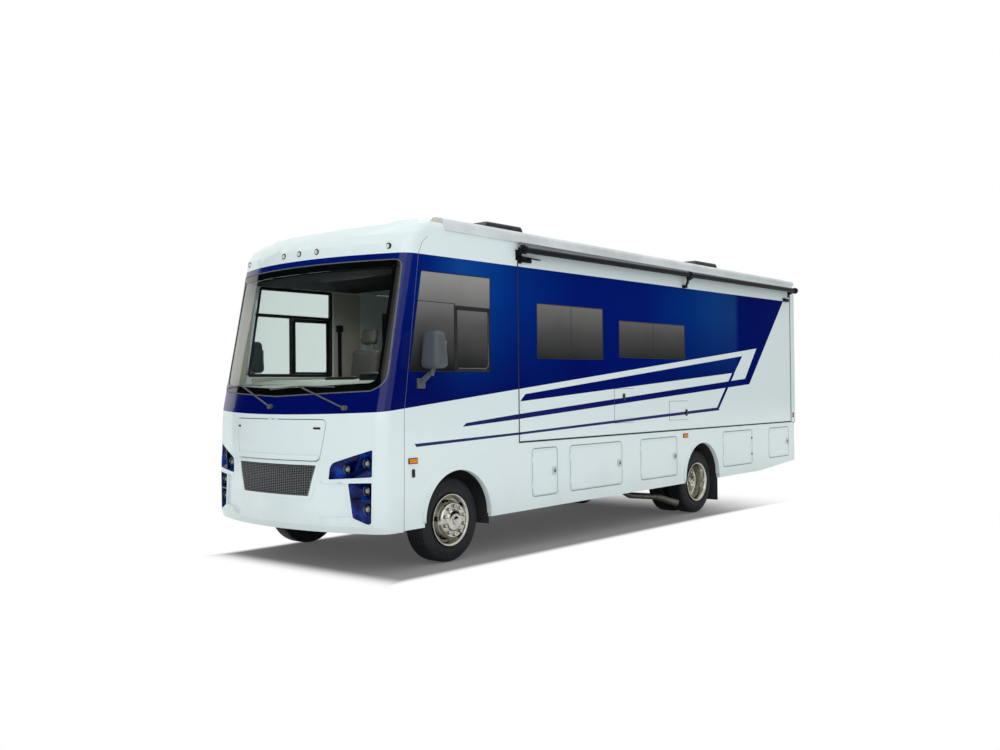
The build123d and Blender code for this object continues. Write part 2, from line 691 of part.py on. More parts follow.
# stairwell and folded step
tread = 20.0
step_z = [door_low, 820.0]
step_y = [-half + skirt, -960.0, stair_inner]
stair_line = [(step_y[0], step_z[0]), (step_y[1], step_z[0]), (step_y[1], step_z[1]), (step_y[2], step_z[1]),
              (step_y[2], floor_low)]
stair_under = [(step_y[2] + tread, floor_low), (step_y[2] + tread, step_z[1] - tread),
               (step_y[1] + tread, step_z[1] - tread), (step_y[1] + tread, step_z[0] - tread),
               (step_y[0], step_z[0] - tread)]
stairs = front_prism(stair_line + stair_under, stair_x0, stair_x1)
folding_step = block(door_x0 + 60, door_x1 - 60, -half + 45, -half + 330, 420, 445)
for x in (door_x0 + 60, door_x1 - 90):
    folding_step = folding_step + block(x, x + 30, -half + 200, -half + 300, 440, door_low - tread)
save("entry_steps", stairs + folding_step)

# ---------------------------------------------------------------- chassis
rail_out = 470.0
rail_in = 390.0
rail_low_z = 620.0
rail_top_z = 850.0
frame_front = ahead(1000.0)
frame_rear = rear_wall_x + 30.0
web = 12.0
rails = []
for side in (1, -1):
    beam = block(frame_rear, frame_front, side * rail_in, side * rail_out, rail_low_z, rail_top_z)
    hollow = block(frame_rear - 5, frame_front + 5, side * (rail_in - 5), side * (rail_out - web), rail_low_z + web,
                   rail_top_z - web)
    riser = block(frame_rear, ahead(600.0), side * (rail_in + 10), side * (rail_out - 10), rail_top_z, floor_low)
    rails.append(beam - hollow + riser)
save("chassis_frame", *rails)
# columns: x, low z, high z
member_places = [(ahead(960.0), 640.0, 720.0), (ahead(-1150.0), 700.0, 830.0), (ahead(-2050.0), 700.0, 830.0),
                 (ahead(-3950.0), 700.0, 830.0), (tail_station(0.07), 700.0, 830.0), (tail_station(0.76), 700.0, 830.0)]
members = []
for x, low, high in member_places:
    members.append(block(x - 30, x + 30, -rail_out + web, rail_out - web, low, high))
# receiver for a tow bar: a square tube under the last cross member, with its pin hole
receiver_in = 50.8
receiver_wall = 6.35
receiver_z = 500.0
receiver_length = 220.0
receiver_pin_r = 8.0
receiver_half = receiver_in / 2 + receiver_wall
receiver_x0 = rear_face_x + 5.0
tow_bar = block(frame_rear, frame_rear + 70, -rail_out, rail_out, receiver_z - 45, rail_low_z)
receiver = block(receiver_x0, receiver_x0 + receiver_length, -receiver_half, receiver_half, receiver_z - receiver_half,
                 receiver_z + receiver_half)
receiver_bore = block(receiver_x0 - 1, receiver_x0 + receiver_length - 20, -receiver_in / 2, receiver_in / 2,
                      receiver_z - receiver_in / 2, receiver_z + receiver_in / 2)
receiver_pin_x = receiver_x0 + 60.0
pin_hole = rod((receiver_pin_x, -receiver_half - 10, receiver_z), (receiver_pin_x, receiver_half + 10, receiver_z),
               receiver_pin_r)
save("cross_members", *members, tow_bar + receiver - receiver_bore - pin_hole)

# engine with its gearbox as one plain block, and the radiator in front of it
engine = block(ahead(-120.0), ahead(720.0), -300, 300, 560, 1060)
gearbox = block(ahead(-900.0), ahead(-120.0), -150, 150, 560, 820)
bearer = block(ahead(300.0), ahead(380.0), -rail_out + web, rail_out - web, 660, 720)
radiator = block(ahead(900.0), ahead(925.0), -rail_in + 6, rail_in - 6, 630, 1040)
save("engine", engine + gearbox + bearer, block(ahead(820.0), ahead(900.0), -rail_in, rail_in, 730, 1050))

# axles: a dropped beam in front, a tube with its differential behind
beam_eye_r = 50.0
beam_eye_h = 180.0
pad_top = 500.0
axle_z = tyre_r
front_beam = [block(axle_front_x - 45, axle_front_x + 45, -kingpin_y, kingpin_y, axle_z - 80, axle_z)]
spring_y = (rail_in + rail_out) / 2
spring_w = 75.0
for side in (1, -1):
    front_beam.append(Pos(axle_front_x, side * kingpin_y, axle_z) * Cylinder(beam_eye_r, beam_eye_h))
    front_beam.append(block(axle_front_x - 55, axle_front_x + 55, side * (spring_y - spring_w / 2),
                            side * (spring_y + spring_w / 2), axle_z - 60, pad_top))
rear_tube_r = 62.0
rear_hub_start = 640.0
rear_spindle_end = 1090.0
rear_axle = [disc(axle_rear_x, axle_z, -rear_hub_start, rear_hub_start, rear_tube_r),
             disc(axle_rear_x, axle_z, -rear_spindle_end, rear_spindle_end, spindle_r),
             Pos(axle_rear_x, 0, axle_z) * Sphere(185.0)]
for side in (1, -1):
    rear_axle.append(block(axle_rear_x - 55, axle_rear_x + 55, side * (spring_y - spring_w / 2),
                           side * (spring_y + spring_w / 2), axle_z, pad_top))
shaft_r = 40.0
rear_axle.append(rod((axle_rear_x, 0, axle_z), (ahead(-900.0) - panel_gap, 0, 640.0), shaft_r))
save("axles", fuse(front_beam), fuse(rear_axle))

# leaf springs, each hung from the rails at both ends
spring_thick = 40.0
springs = []
# columns: axle x, half length
for axle, reach in ((axle_front_x, 620.0), (axle_rear_x, 720.0)):
    for side in (1, -1):
        eye = rail_low_z - 45.0
        line = [(axle - reach, eye), (axle - 90, pad_top), (axle + 90, pad_top), (axle + reach, eye)]
        over = [(axle + reach, eye + spring_thick / 2), (axle + 90, pad_top + spring_thick),
                (axle - 90, pad_top + spring_thick), (axle - reach, eye + spring_thick / 2)]
        y0 = side * (spring_y - spring_w / 2)
        y1 = side * (spring_y + spring_w / 2)
        spring = side_prism(line + over, y0, y1)
        for x in (axle - reach, axle + reach):
            spring = spring + block(x - 35, x + 35, y0, y1, eye, rail_low_z)
        springs.append(spring)
save("leaf_springs", *springs)

# tanks between the rails
fuel_tank = block(tail_station(0.56), tail_station(0.13), -rail_in, rail_in, 560, 830)
waste_tank = block(ahead(-3550.0), ahead(-2300.0), -rail_in, rail_in, 690, 830)
for x in (-3300.0, -2550.0):
    waste_tank = waste_tank + block(ahead(x) - 25, ahead(x) + 25, -rail_out + web, rail_out - web, 670, 700)
save("tanks", fuel_tank, waste_tank)

# exhaust: silencer under the left rail, and a pipe out ahead of the rear wheel
pipe_r = 40.0
silencer_y = 555.0
silencer_z = 530.0
silencer = rod((ahead(-3300.0), silencer_y, silencer_z), (ahead(-2500.0), silencer_y, silencer_z), 78.0)
pipe_path = FilletPolyline((ahead(-3290.0), silencer_y, silencer_z), (ahead(-3600.0), silencer_y, silencer_z),
                           (ahead(-3880.0), 780.0, 300.0), (ahead(-4230.0), 1050.0, 265.0), radius=120.0)
pipe_section = Plane(origin=pipe_path @ 0, z_dir=pipe_path % 0) * Circle(pipe_r)
tail_pipe = sweep(pipe_section, path=pipe_path)
bore_section = Plane(origin=pipe_path @ 1, z_dir=pipe_path % 1)
tail_bore = bore_section * Pos(0, 0, -60) * Cylinder(pipe_r - 3, 160)
front_pipe = rod((ahead(-2510.0), silencer_y, silencer_z), (ahead(-1100.0), silencer_y, silencer_z), 30.0)
hanger = block(ahead(-2700.0), ahead(-2670.0), rail_out, silencer_y, silencer_z + 40, rail_low_z + 60)
save("exhaust", silencer + tail_pipe - tail_bore + front_pipe + hanger)

# mud flaps behind the rear wheels, and short ones behind the front wheels
flap_thick = 8.0
flaps = []
for side in (1, -1):
    flap_x = axle_rear_x - tyre_r - 75
    flaps.append(block(flap_x - flap_thick, flap_x, side * 660, side * (half - skirt), 130, floor_low))
    flap_x = axle_front_x - tyre_r - 105
    flaps.append(block(flap_x - flap_thick, flap_x, side * 960, side * (half - skirt), 330, floor_low))
save("mud_flaps", *flaps)

# ---------------------------------------------------------------- wheels
bead_w = 187.4
flange_r = 266.0


def tyre(axle, face, way):
    """A tyre whose outer side wall is at y = face, on the side where outwards is way."""
    inner = face - way * tyre_w
    middle = (face + inner) / 2
    shoulder = 26.0
    bead = bead_w / 2
    edge = [
        (middle - way * bead, rim_r + running_gap),
        (middle + way * bead, rim_r + running_gap),
        (middle + way * bead, flange_r + 2),
        (middle + way * (bead + 20), flange_r + 18),
        (face, (tyre_r + rim_r) / 2 + 8),
        (face - way * 10, tyre_r - shoulder - 8),
        (face - way * shoulder, tyre_r),
        (inner + way * shoulder, tyre_r),
        (inner + way * 10, tyre_r - shoulder - 8),
        (inner, (tyre_r + rim_r) / 2 + 8),
        (middle - way * (bead + 20), flange_r + 18),
        (middle - way * bead, flange_r + 2),
    ]
    return ring_profile(edge, axle, axle_z)


barrel_in_r = 226.0
hub_bore_r = spindle_r + running_gap


def hand_holes(axle, y0, y1, at_r, hole_r):
    holes = []
    for i in range(5):
        angle = math.radians(90 + 72 * i)
        holes.append(disc(axle + at_r * math.cos(angle), axle_z + at_r * math.sin(angle), y0, y1, hole_r))
    return holes


def lug_nuts(axle, y0, y1, at_r):
    nuts = []
    for i in range(10):
        angle = math.radians(36 * i + 18)
        nuts.append(disc(axle + at_r * math.cos(angle), axle_z + at_r * math.sin(angle), y0, y1, 14.0))
    return nuts


def front_rim(axle, way):
    """Front rim: its disc bulges out to the rim plane, round a capped hub."""
    out = way * rim_plane
    inner = way * (tyre_face - tyre_w) + way * 20
    edge = [
        (inner, rim_r), (out - way * 16, rim_r), (out - way * 16, flange_r), (out, flange_r), (out, flange_r - 8),
        (out - way * 22, rim_r - 10), (out - way * 30, 200.0), (out - way * 12, 165.0), (out - way * 12, 100.0),
        (out + way * 2, 92.0), (out + way * 2, 60.0), (out + way * 18, 52.0), (out + way * 18, hub_bore_r - 15),
        (out - way * 40, hub_bore_r - 15), (out - way * 40, hub_bore_r), (out - way * 190, hub_bore_r),
        (out - way * 190, 90.0), (out - way * 60, 90.0), (out - way * 34, 150.0), (out - way * 50, 196.0),
        (out - way * 60, barrel_in_r), (inner, barrel_in_r),
    ]
    rim = ring_profile(edge, axle, axle_z)
    rim = rim + disc(axle, axle_z, out - way * 42, out + way * 18, hub_bore_r - 14)
    for hole in hand_holes(axle, out - way * 90, out + way * 10, 186.0, 17.0):
        rim = rim - hole
    for nut in lug_nuts(axle, out - way * 20, out + way * 14, 130.0):
        rim = rim + nut
    return rim


def rear_rims(axle, way):
    """The twin rims as two barrels on one hub, joined through their discs."""
    out = way * rim_plane
    gap_y = way * (tyre_face - tyre_w - (dual_pitch - tyre_w) / 2)
    inner_out = way * (rim_plane - dual_pitch)
    inner_end = way * (tyre_face - dual_pitch - tyre_w + 20)
    outer_barrel = ring_profile([(gap_y, rim_r), (out - way * 16, rim_r), (out - way * 16, flange_r), (out, flange_r),
                                 (out, flange_r - 8), (out - way * 14, rim_r - 8), (out - way * 30, barrel_in_r + 6),
                                 (gap_y, barrel_in_r - 10)], axle, axle_z)
    inner_barrel = ring_profile([(inner_end, rim_r), (gap_y, rim_r), (gap_y, barrel_in_r - 10),
                                 (inner_end, barrel_in_r)], axle, axle_z)
    plate = ring_profile([(gap_y - way * 12, 40.0), (gap_y + way * 12, 40.0), (gap_y + way * 12, 228.0),
                          (gap_y - way * 12, 228.0)], axle, axle_z)
    hub = ring_profile([(way * (rear_hub_start + 12), hub_bore_r), (way * (rim_plane - 84), hub_bore_r),
                        (way * (rim_plane - 84), 0.5), (way * (rim_plane - 70), 0.5), (way * (rim_plane - 70), 70.0),
                        (way * (rim_plane - 95), 92.0), (gap_y + way * 6, 98.0), (gap_y - way * 6, 150.0),
                        (way * (rear_hub_start + 12), 150.0)], axle, axle_z)
    rim = outer_barrel + inner_barrel + plate + hub
    for hole in hand_holes(axle, gap_y - way * 40, gap_y + way * 40, 186.0, 17.0):
        rim = rim - hole
    for nut in lug_nuts(axle, gap_y, gap_y + way * 40, 130.0):
        rim = rim + nut
    return rim


for name, way in (("left", 1), ("right", -1)):
    save(f"front_tyre_{name}", tyre(axle_front_x, way * tyre_face, way))
    save(f"front_rim_{name}", front_rim(axle_front_x, way))
    save(f"rear_tyres_{name}", tyre(axle_rear_x, way * tyre_face, way), tyre(axle_rear_x, way * (tyre_face - dual_pitch), way))
    save(f"rear_rims_{name}", rear_rims(axle_rear_x, way))
    ears = []
    for z0, z1 in ((axle_z + beam_eye_h / 2 + running_gap, axle_z + beam_eye_h / 2 + 40),
                   (axle_z - beam_eye_h / 2 - 40, axle_z - beam_eye_h / 2 - running_gap)):
        ears.append(block(axle_front_x - 45, axle_front_x + 45, way * (kingpin_y - 45), way * (kingpin_y + 85), z0, z1))
    upright = block(axle_front_x - 45, axle_front_x + 45, way * (kingpin_y + 57), way * (kingpin_y + 85),
                    axle_z - beam_eye_h / 2 - 40, axle_z + beam_eye_h / 2 + 40)
    spindle = disc(axle_front_x, axle_z, way * (kingpin_y + 70), way * (rim_plane - 45), spindle_r)
    save(f"knuckle_{name}", fuse(ears + [upright, spindle]))

# ---------------------------------------------------------------- outside fittings
# roof air conditioners
unit_length = 940.0
unit_half = 330.0
unit_rise = 290.0            # above the roof at its middle
unit_slope = 275.0           # its front slopes back over this length
rear_unit_clear = 705.0      # from the rear wall
roof_units = []
for rear in (ahead(-2290.0), rear_face_x + rear_unit_clear):
    front = rear + unit_length
    low = roof_z(front)
    top = roof_z(rear + unit_length / 2) + unit_rise
    shape = side_prism([(rear, roof_rear_z - 20), (front, roof_rear_z - 20), (front - 20, low + 60),
                        (front - unit_slope, top), (rear + 60, top), (rear, top - 120)], -unit_half, unit_half)
    shape = fillet(shape.edges().filter_by(Plane.XZ).sort_by(Axis.Z)[-2:], 30.0)
    roof_units.append(shape - roof_wedge)
vent = block(ahead(-4560.0), ahead(-4160.0), -200, 200, roof_rear_z - 20, 3510)
roof_units.append(vent - roof_wedge)
save("roof_units", *roof_units)

# door mirrors, each on an arm from the wall below the cab window
mirror_x = 446.0
mirror_y = 1430.0
mirror_z = 2100.0
mirror_size = (110.0, 200.0, 350.0)
mirror_foot = [(555.0, 1835.0), (450.0, 1835.0), (440.0, 1730.0), (555.0, 1730.0)]
head = Pos(ahead(mirror_x), mirror_y, mirror_z) * Box(*mirror_size)
head = fillet(head.edges().filter_by(Axis.X), 55.0)
foot = side_prism([(ahead(x), z) for x, z in mirror_foot], half, half + 22)
arm = rod((ahead(500.0), half + 20, 1790.0), (ahead(470.0), mirror_y - 20, 1900.0), 17.0)
neck = rod((ahead(470.0), mirror_y - 20, 1890.0), (ahead(mirror_x), mirror_y, 1960.0), 20.0)
door_mirror = head + foot + arm + neck
save("mirrors", door_mirror, mirrored(door_mirror))

# wipers: pivot, arm and blade, just off the skin
wipers = []
# columns: y and z of the pivot, y and z of the arm's end, half length of the blade
for py, pz, ey, ez, reach in ((-54.0, 1573.0, -700.0, 1790.0, 430.0), (896.0, 1561.0, 330.0, 1770.0, 430.0)):
    pivot_x = nose_surface(py, pz)
    tip_x = nose_surface(ey, ez)
    body = rod((pivot_x - 26, py, pz), (pivot_x + 34, py, pz), 24.0)
    arm = rod((pivot_x + 24, py, pz), (tip_x + 22, ey, ez), 8.0)
    start_y = ey - reach
    end_y = ey + reach
    if start_y < -1130:
        start_y = -1130.0
    blade = rod((nose_surface(start_y, ez) + 20, start_y, ez - 30), (tip_x + 20, ey, ez), 7.0)
    blade = blade + rod((tip_x + 20, ey, ez), (nose_surface(end_y, ez) + 20, end_y, ez - 10), 7.0)
    wipers.append(body + arm + blade - nose_outer)
save("wipers", *wipers)

# marker lamps on the cap and the sides
markers = []
cap_marker_z = 3100.0
for y in (-1090.0, -258.0, 0.0, 258.0, 1090.0):
    x = nose_surface(y, cap_marker_z)
    markers.append(rod((x - 40, y, cap_marker_z), (x + 16, y, cap_marker_z), 26.0) - nose_outer)
for x, z in ((603.0, 1049.0), (-4483.0, 1070.0)):
    markers.append(block(ahead(x) - 55, ahead(x) + 55, half, half + 14, z - 22, z + 22))
    markers.append(block(ahead(x) - 55, ahead(x) + 55, -half - 14, -half, z - 22, z + 22))
save("marker_lamps", *markers)

tail = []
for side in (1, -1):
    for z0, z1 in ((1180, 1420), (1440, 1560)):
        tail.append(block(rear_face_x - 18, rear_face_x, side * 1000, side * 1180, z0, z1))
    tail.append(block(rear_face_x + 62, rear_face_x + 96, side * half, side * (half + 10), 1215, 1290))
tail.append(block(rear_face_x - 14, rear_face_x, -150, 150, 3120, 3160))
save("tail_lamps", *tail)

# patio awning, closed, along the right side
awning_front = -900.0
awning_rear = -5700.0
awning_y = rail_y
awning = front_prism([(-half, 3225.0), (-half - 105, 3205.0), (-half - 120, 3150.0), (-half - 100, 3095.0),
                      (-half, 3085.0)], ahead(awning_rear), ahead(awning_front))
save("patio_awning", awning)

# ladder on the rear wall
ladder_y = (-420.0, -800.0)
ladder_r = 14.0
ladder_x = -overall_length / 2 + ladder_r
ladder_low = 900.0
ladder_high = 3330.0
ladder = []
for y in ladder_y:
    ladder.append(rod((ladder_x, y, ladder_low), (ladder_x, y, ladder_high), ladder_r))
    for z in (1000.0, 2000.0, 3000.0):
        ladder.append(rod((ladder_x, y, z), (rear_face_x, y, z), ladder_r - 3))
rungs = 8
for i in range(rungs):
    z = ladder_low + 60 + (ladder_high - ladder_low - 120) * i / (rungs - 1)
    ladder.append(rod((ladder_x, ladder_y[0], z), (ladder_x, ladder_y[1], z), ladder_r - 3))
save("rear_ladder", fuse(ladder))

# ---------------------------------------------------------------- inside the cab
dash_top = 1690.0
dash_low = 1420.0
dash_back = 330.0
inside = half - wall
dash_body = nose_block(shell + 12, dash_low, dash_top) & block(ahead(dash_back), nose_x, -inside + 5, inside - 5, dash_low, dash_top)
dash_body = dash_body - block(ahead(dash_back) - 5, ahead(560.0), -inside, inside, dash_low - 10, dash_top - 130)
firewall = block(ahead(floor_front - 30), ahead(floor_front), -inside, inside, floor_top, dash_low + 10)
binnacle = side_prism([(ahead(dash_back), dash_top - 60), (ahead(dash_back), dash_top + 110),
                       (ahead(dash_back + 190), dash_top + 60), (ahead(dash_back + 330), dash_top - 30)], 350, 880)
save("dashboard", dash_body + firewall + binnacle)

seat_y = 615.0
wheel_r = 215.0
column_top = Vector(ahead(dash_back - 70), seat_y, dash_top - 20)
column_low = Vector(ahead(dash_back + 90), seat_y, dash_top - 110)
column_dir = (column_top - column_low).normalized()
rim_plane_sw = Plane(origin=column_top, z_dir=column_dir)
steering_rim = rim_plane_sw * Torus(wheel_r, 16)
spokes = rim_plane_sw * Box(2 * wheel_r, 34, 14) + rim_plane_sw * Box(34, 2 * wheel_r, 14)
boss = rim_plane_sw * Cylinder(60, 40)
column = rod(tuple(column_low), tuple(column_top), 28.0)
save("steering_wheel", (steering_rim + spokes + boss + column) - dash_body - binnacle)

seat_x = -260.0
cushion_high = 1600.0
seats = []
bases = []
for side in (1, -1):
    y = side * seat_y
    cushion = side_prism([(ahead(seat_x - 250), cushion_high - 130), (ahead(seat_x + 260), cushion_high - 130),
                          (ahead(seat_x + 270), cushion_high), (ahead(seat_x - 200), cushion_high - 20)], y - 260, y + 260)
    back = side_prism([(ahead(seat_x - 260), cushion_high - 130), (ahead(seat_x - 130), cushion_high - 60),
                       (ahead(seat_x - 250), cushion_high + 640), (ahead(seat_x - 370), cushion_high + 640)], y - 260, y + 260)
    rest = side_prism([(ahead(seat_x - 365), cushion_high + 640), (ahead(seat_x - 265), cushion_high + 640),
                       (ahead(seat_x - 285), cushion_high + 850), (ahead(seat_x - 375), cushion_high + 850)], y - 130, y + 130)
    seats.append(cushion + back + rest)
    bases.append(block(ahead(seat_x - 180), ahead(seat_x + 180), y - 160, y + 160, floor_top, cushion_high - 130))
save("cab_seats", *seats)
save("seat_bases", *bases)

bunk = block(ahead(-900.0), ahead(300.0), -inside + 20, inside - 20, 2900, ceiling - 30)
bunk = bunk + block(ahead(-880.0), ahead(-860.0), -inside + 20, inside - 20, ceiling - 40, ceiling)
save("overhead_bunk", bunk)

# galley and wardrobe along the right wall, and the bulkhead to the bedroom
pantry = block(ahead(-2900.0), ahead(-2250.0), -inside, -640, floor_top, ceiling)
galley = block(ahead(-4400.0), ahead(-2900.0), -inside, -640, floor_top, floor_top + 900)
bulkhead = block(ahead(-5240.0), ahead(-5200.0), -inside, -150, floor_top, ceiling)
save("cabinets", pantry + galley, bulkhead)

print("front axle x", axle_front_x, "rear axle x", axle_rear_x, "rear face x", rear_face_x)
print("hatch hinge", hatch_hinge_x, hatch_hinge_z, "door hinge", door_hinge_x, door_hinge_y)
print("slide", slide_x0, slide_x1, slide_inner_y, "receiver pin x", receiver_pin_x)
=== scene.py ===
import json
import math
from contextlib import contextmanager

import bmesh
import bpy
from mathutils import Matrix, Vector

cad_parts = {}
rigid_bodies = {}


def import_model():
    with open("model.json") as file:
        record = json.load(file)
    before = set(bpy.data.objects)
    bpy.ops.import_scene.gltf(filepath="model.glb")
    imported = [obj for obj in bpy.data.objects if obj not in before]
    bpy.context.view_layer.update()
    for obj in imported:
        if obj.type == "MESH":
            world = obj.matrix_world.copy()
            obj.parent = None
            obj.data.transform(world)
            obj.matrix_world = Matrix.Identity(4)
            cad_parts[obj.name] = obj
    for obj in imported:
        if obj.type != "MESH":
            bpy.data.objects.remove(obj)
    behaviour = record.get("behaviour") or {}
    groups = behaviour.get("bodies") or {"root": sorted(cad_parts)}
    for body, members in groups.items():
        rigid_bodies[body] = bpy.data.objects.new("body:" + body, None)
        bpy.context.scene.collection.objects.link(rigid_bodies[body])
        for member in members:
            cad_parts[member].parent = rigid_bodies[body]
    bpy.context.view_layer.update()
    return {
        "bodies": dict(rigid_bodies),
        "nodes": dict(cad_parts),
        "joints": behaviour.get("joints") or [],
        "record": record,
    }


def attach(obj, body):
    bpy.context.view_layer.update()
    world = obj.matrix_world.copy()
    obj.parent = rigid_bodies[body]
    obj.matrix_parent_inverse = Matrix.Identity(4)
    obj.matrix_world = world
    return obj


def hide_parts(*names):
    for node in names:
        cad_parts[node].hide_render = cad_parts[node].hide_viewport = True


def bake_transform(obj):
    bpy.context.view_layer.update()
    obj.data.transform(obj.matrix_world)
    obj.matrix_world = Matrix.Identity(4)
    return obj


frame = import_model()
nodes = frame["nodes"]
print("stage: frame loaded,", len(nodes), "nodes")

# the coach's own stations, in metres, in the same frame as its solids
coach = {
    "half": 1.28,  # half of the body's width
    "frontAxle": 3.385,
    "rearAxle": -1.529,
    "noseX": 4.67,
    "noseArc": 3.1,  # plan radius of the nose
    "noseCorner": 0.16,
    "rearFace": -4.52,
    "tyreRadius": 0.4215,
}
# heights of the nose's profile, and how far its middle is behind the foremost point
noseProfile = [(0.390, 0.042), (0.455, 0.012), (0.900, 0.010), (1.100, 0.024), (1.455, 0.035), (1.545, 0.045),
               (3.030, 0.360), (3.130, 0.374), (3.230, 0.440), (3.330, 0.560), (3.410, 0.760), (3.450, 1.010)]


def ahead(x):
    return coach["frontAxle"] + x  # a station measured forward from the front axle


def noseFront(z):
    for (z0, b0), (z1, b1) in zip(noseProfile, noseProfile[1:]):
        if z0 <= z <= z1:
            return coach["noseX"] - b0 - (b1 - b0) * (z - z0) / (z1 - z0)
    return coach["noseX"]


def noseSurface(y, z):
    # the skin's x at a width and height: the main arc, then the small arc at each corner
    arc, corner, half = coach["noseArc"], coach["noseCorner"], coach["half"]
    hub = noseFront(z) - arc
    cornerX = hub + math.sqrt((arc - corner) ** 2 - (half - corner) ** 2)
    turn = math.atan2(half - corner, cornerX - hub)
    if abs(y) <= arc * math.sin(turn):
        return hub + math.sqrt(arc ** 2 - y ** 2)
    return cornerX + math.sqrt(max(corner ** 2 - (abs(y) - half + corner) ** 2, 0.0))


# selecting, shaping and finishing a piece
def activate(piece):
    bpy.ops.object.select_all(action="DESELECT")
    piece.select_set(True)
    bpy.context.view_layer.objects.active = piece
    return piece


@contextmanager
def editing(piece, kind="FACE", whole=False):
    # edit mode, with the whole mesh selected or none of it
    activate(piece)
    bpy.ops.object.mode_set(mode="EDIT")
    bpy.ops.mesh.select_mode(type=kind)
    bpy.ops.mesh.select_all(action="SELECT" if whole else "DESELECT")
    yield
    bpy.ops.object.mode_set(mode="OBJECT")


def pick(piece, test, kind="faces"):
    # selects faces by centre and normal, edges by their two ends, vertices by their place
    bpy.ops.mesh.select_all(action="DESELECT")
    mesh = bmesh.from_edit_mesh(piece.data)
    for item in getattr(mesh, kind):
        if kind == "faces":
            chosen = test(item.calc_center_median(), item.normal)
        elif kind == "edges":
            chosen = test(item.verts[0].co, item.verts[1].co)
        else:
            chosen = test(item.co)
        if chosen:
            item.select_set(True)
    mesh.select_flush_mode()
    bmesh.update_edit_mesh(piece.data)


def settle(piece):
    # puts the object's place, turn and size into its mesh
    activate(piece)
    bpy.ops.object.transform_apply(location=True, rotation=True, scale=True)
    return piece


def useModifier(piece, kind, **settings):
    activate(piece)
    modifier = piece.modifiers.new(kind.title(), kind)
    for name, value in settings.items():
        setattr(modifier, name, value)
    bpy.ops.object.modifier_apply(modifier=modifier.name)
    return piece


def cleanUp(piece, gap=0.0001):
    with editing(piece, "VERT", whole=True):
        bpy.ops.mesh.remove_doubles(threshold=gap)
        bpy.ops.mesh.normals_make_consistent(inside=False)
    return piece


def startBox(name, low, high):
    low, high = Vector(low), Vector(high)
    bpy.ops.mesh.primitive_cube_add(size=1, location=(low + high) / 2, scale=high - low)
    piece = bpy.context.object
    piece.name = name
    return settle(piece)


def softBox(name, low, high, edge=0.004, segments=2):
    # a box with its edges rounded
    piece = startBox(name, low, high)
    with editing(piece, "EDGE", whole=True):
        bpy.ops.mesh.bevel(offset=edge, segments=segments, affect="EDGES")
    return piece


def outlineFace(name, corners, roundness=0.0, segments=6, facing=None):
    # one face with the given corners, each a point in space, its corners rounded
    bpy.ops.mesh.primitive_circle_add(vertices=len(corners), fill_type="NGON")
    piece = settle(bpy.context.object)
    piece.name = name
    for vertex, corner in zip(piece.data.vertices, corners):
        vertex.co = corner
    if roundness:
        with editing(piece, "VERT", whole=True):
            bpy.ops.mesh.bevel(offset=roundness, segments=segments, affect="VERTICES", clamp_overlap=True)
    if facing:
        with editing(piece, whole=True):
            if piece.data.polygons[0].normal.dot(Vector(facing)) < 0:
                bpy.ops.mesh.flip_normals()
    return piece


def extrudeAll(piece, run):
    with editing(piece, whole=True):
        bpy.ops.mesh.extrude_region_move(TRANSFORM_OT_translate={"value": run})
        bpy.ops.mesh.select_all(action="SELECT")
        bpy.ops.mesh.normals_make_consistent(inside=False)
    return piece


def bar(name, start, end, radius, vertices=16):
    # a round bar between two points
    start, end = Vector(start), Vector(end)
    turn = (end - start).to_track_quat("Z", "Y").to_euler()
    bpy.ops.mesh.primitive_cylinder_add(vertices=vertices, radius=radius, depth=(end - start).length,
                                        location=(start + end) / 2, rotation=turn)
    piece = settle(bpy.context.object)
    piece.name = name
    return piece


def sideBox(name, side, spanX, spanY, spanZ, edge=0.004, segments=2):
    # a soft box at one side of the coach; spanY is measured outwards from the middle
    low, high = sorted(side * y for y in spanY)
    return softBox(name, (spanX[0], low, spanZ[0]), (spanX[1], high, spanZ[1]), edge, segments)


def spotBox(name, side, x, z, across, up, spanY, edge=0.004, segments=2):
    # the same about a spot on the wall, reaching as far across and up as half its size
    return sideBox(name, side, (x - across, x + across), spanY, (z - up, z + up), edge, segments)


def cutOut(piece, ringWidth):
    # leaves a ring of a face, where a width is given
    if ringWidth:
        with editing(piece, whole=True):
            bpy.ops.mesh.inset(thickness=ringWidth)
            bpy.ops.mesh.delete(type="FACE")
    return piece


def wallPanel(name, outline, face, side=1, thickness=0.004, roundness=0.0, ringWidth=0.0):
    # a flat panel, or a ring where a width is given, whose outer face is at y = side * face
    piece = outlineFace(name, [(x, side * face, z) for x, z in outline], roundness, facing=(0, side, 0))
    cutOut(piece, ringWidth)
    return useModifier(piece, "SOLIDIFY", thickness=thickness, offset=-1)


def oblong(front, rear, low, high, grow=0.0):
    # a rectangle in side view, moved outwards all round where asked
    front, rear, low, high = front + grow, rear - grow, low - grow, high + grow
    return [(front, high), (rear, high), (rear, low), (front, low)]


def spinProfile(name, points, centre, steps=64, axis=(0, 1, 0), angle=math.tau):
    # a turned piece: the profile is drawn point by point, then spun about its axis
    bpy.ops.mesh.primitive_plane_add(size=0.01, location=(0, 0, 0))
    piece = settle(bpy.context.object)
    piece.name = name
    with editing(piece, "VERT", whole=True):
        bpy.ops.mesh.merge(type="CENTER")
        bpy.ops.transform.translate(value=Vector(points[0]))
        for before, after in zip(points, points[1:]):
            run = Vector(after) - Vector(before)
            bpy.ops.mesh.extrude_region_move(TRANSFORM_OT_translate={"value": run})
        bpy.ops.mesh.select_all(action="SELECT")
        bpy.ops.mesh.spin(steps=steps, angle=angle, center=centre, axis=axis)
    return cleanUp(piece)


def turned(name, profile, spot, steps):
    # (distance forwards, radius) pairs turned about a line along the coach
    x, y, z = spot
    points = [(x + out, y, z + radius) for out, radius in profile]
    return spinProfile(name, points, (0, y, z), steps, (1, 0, 0))


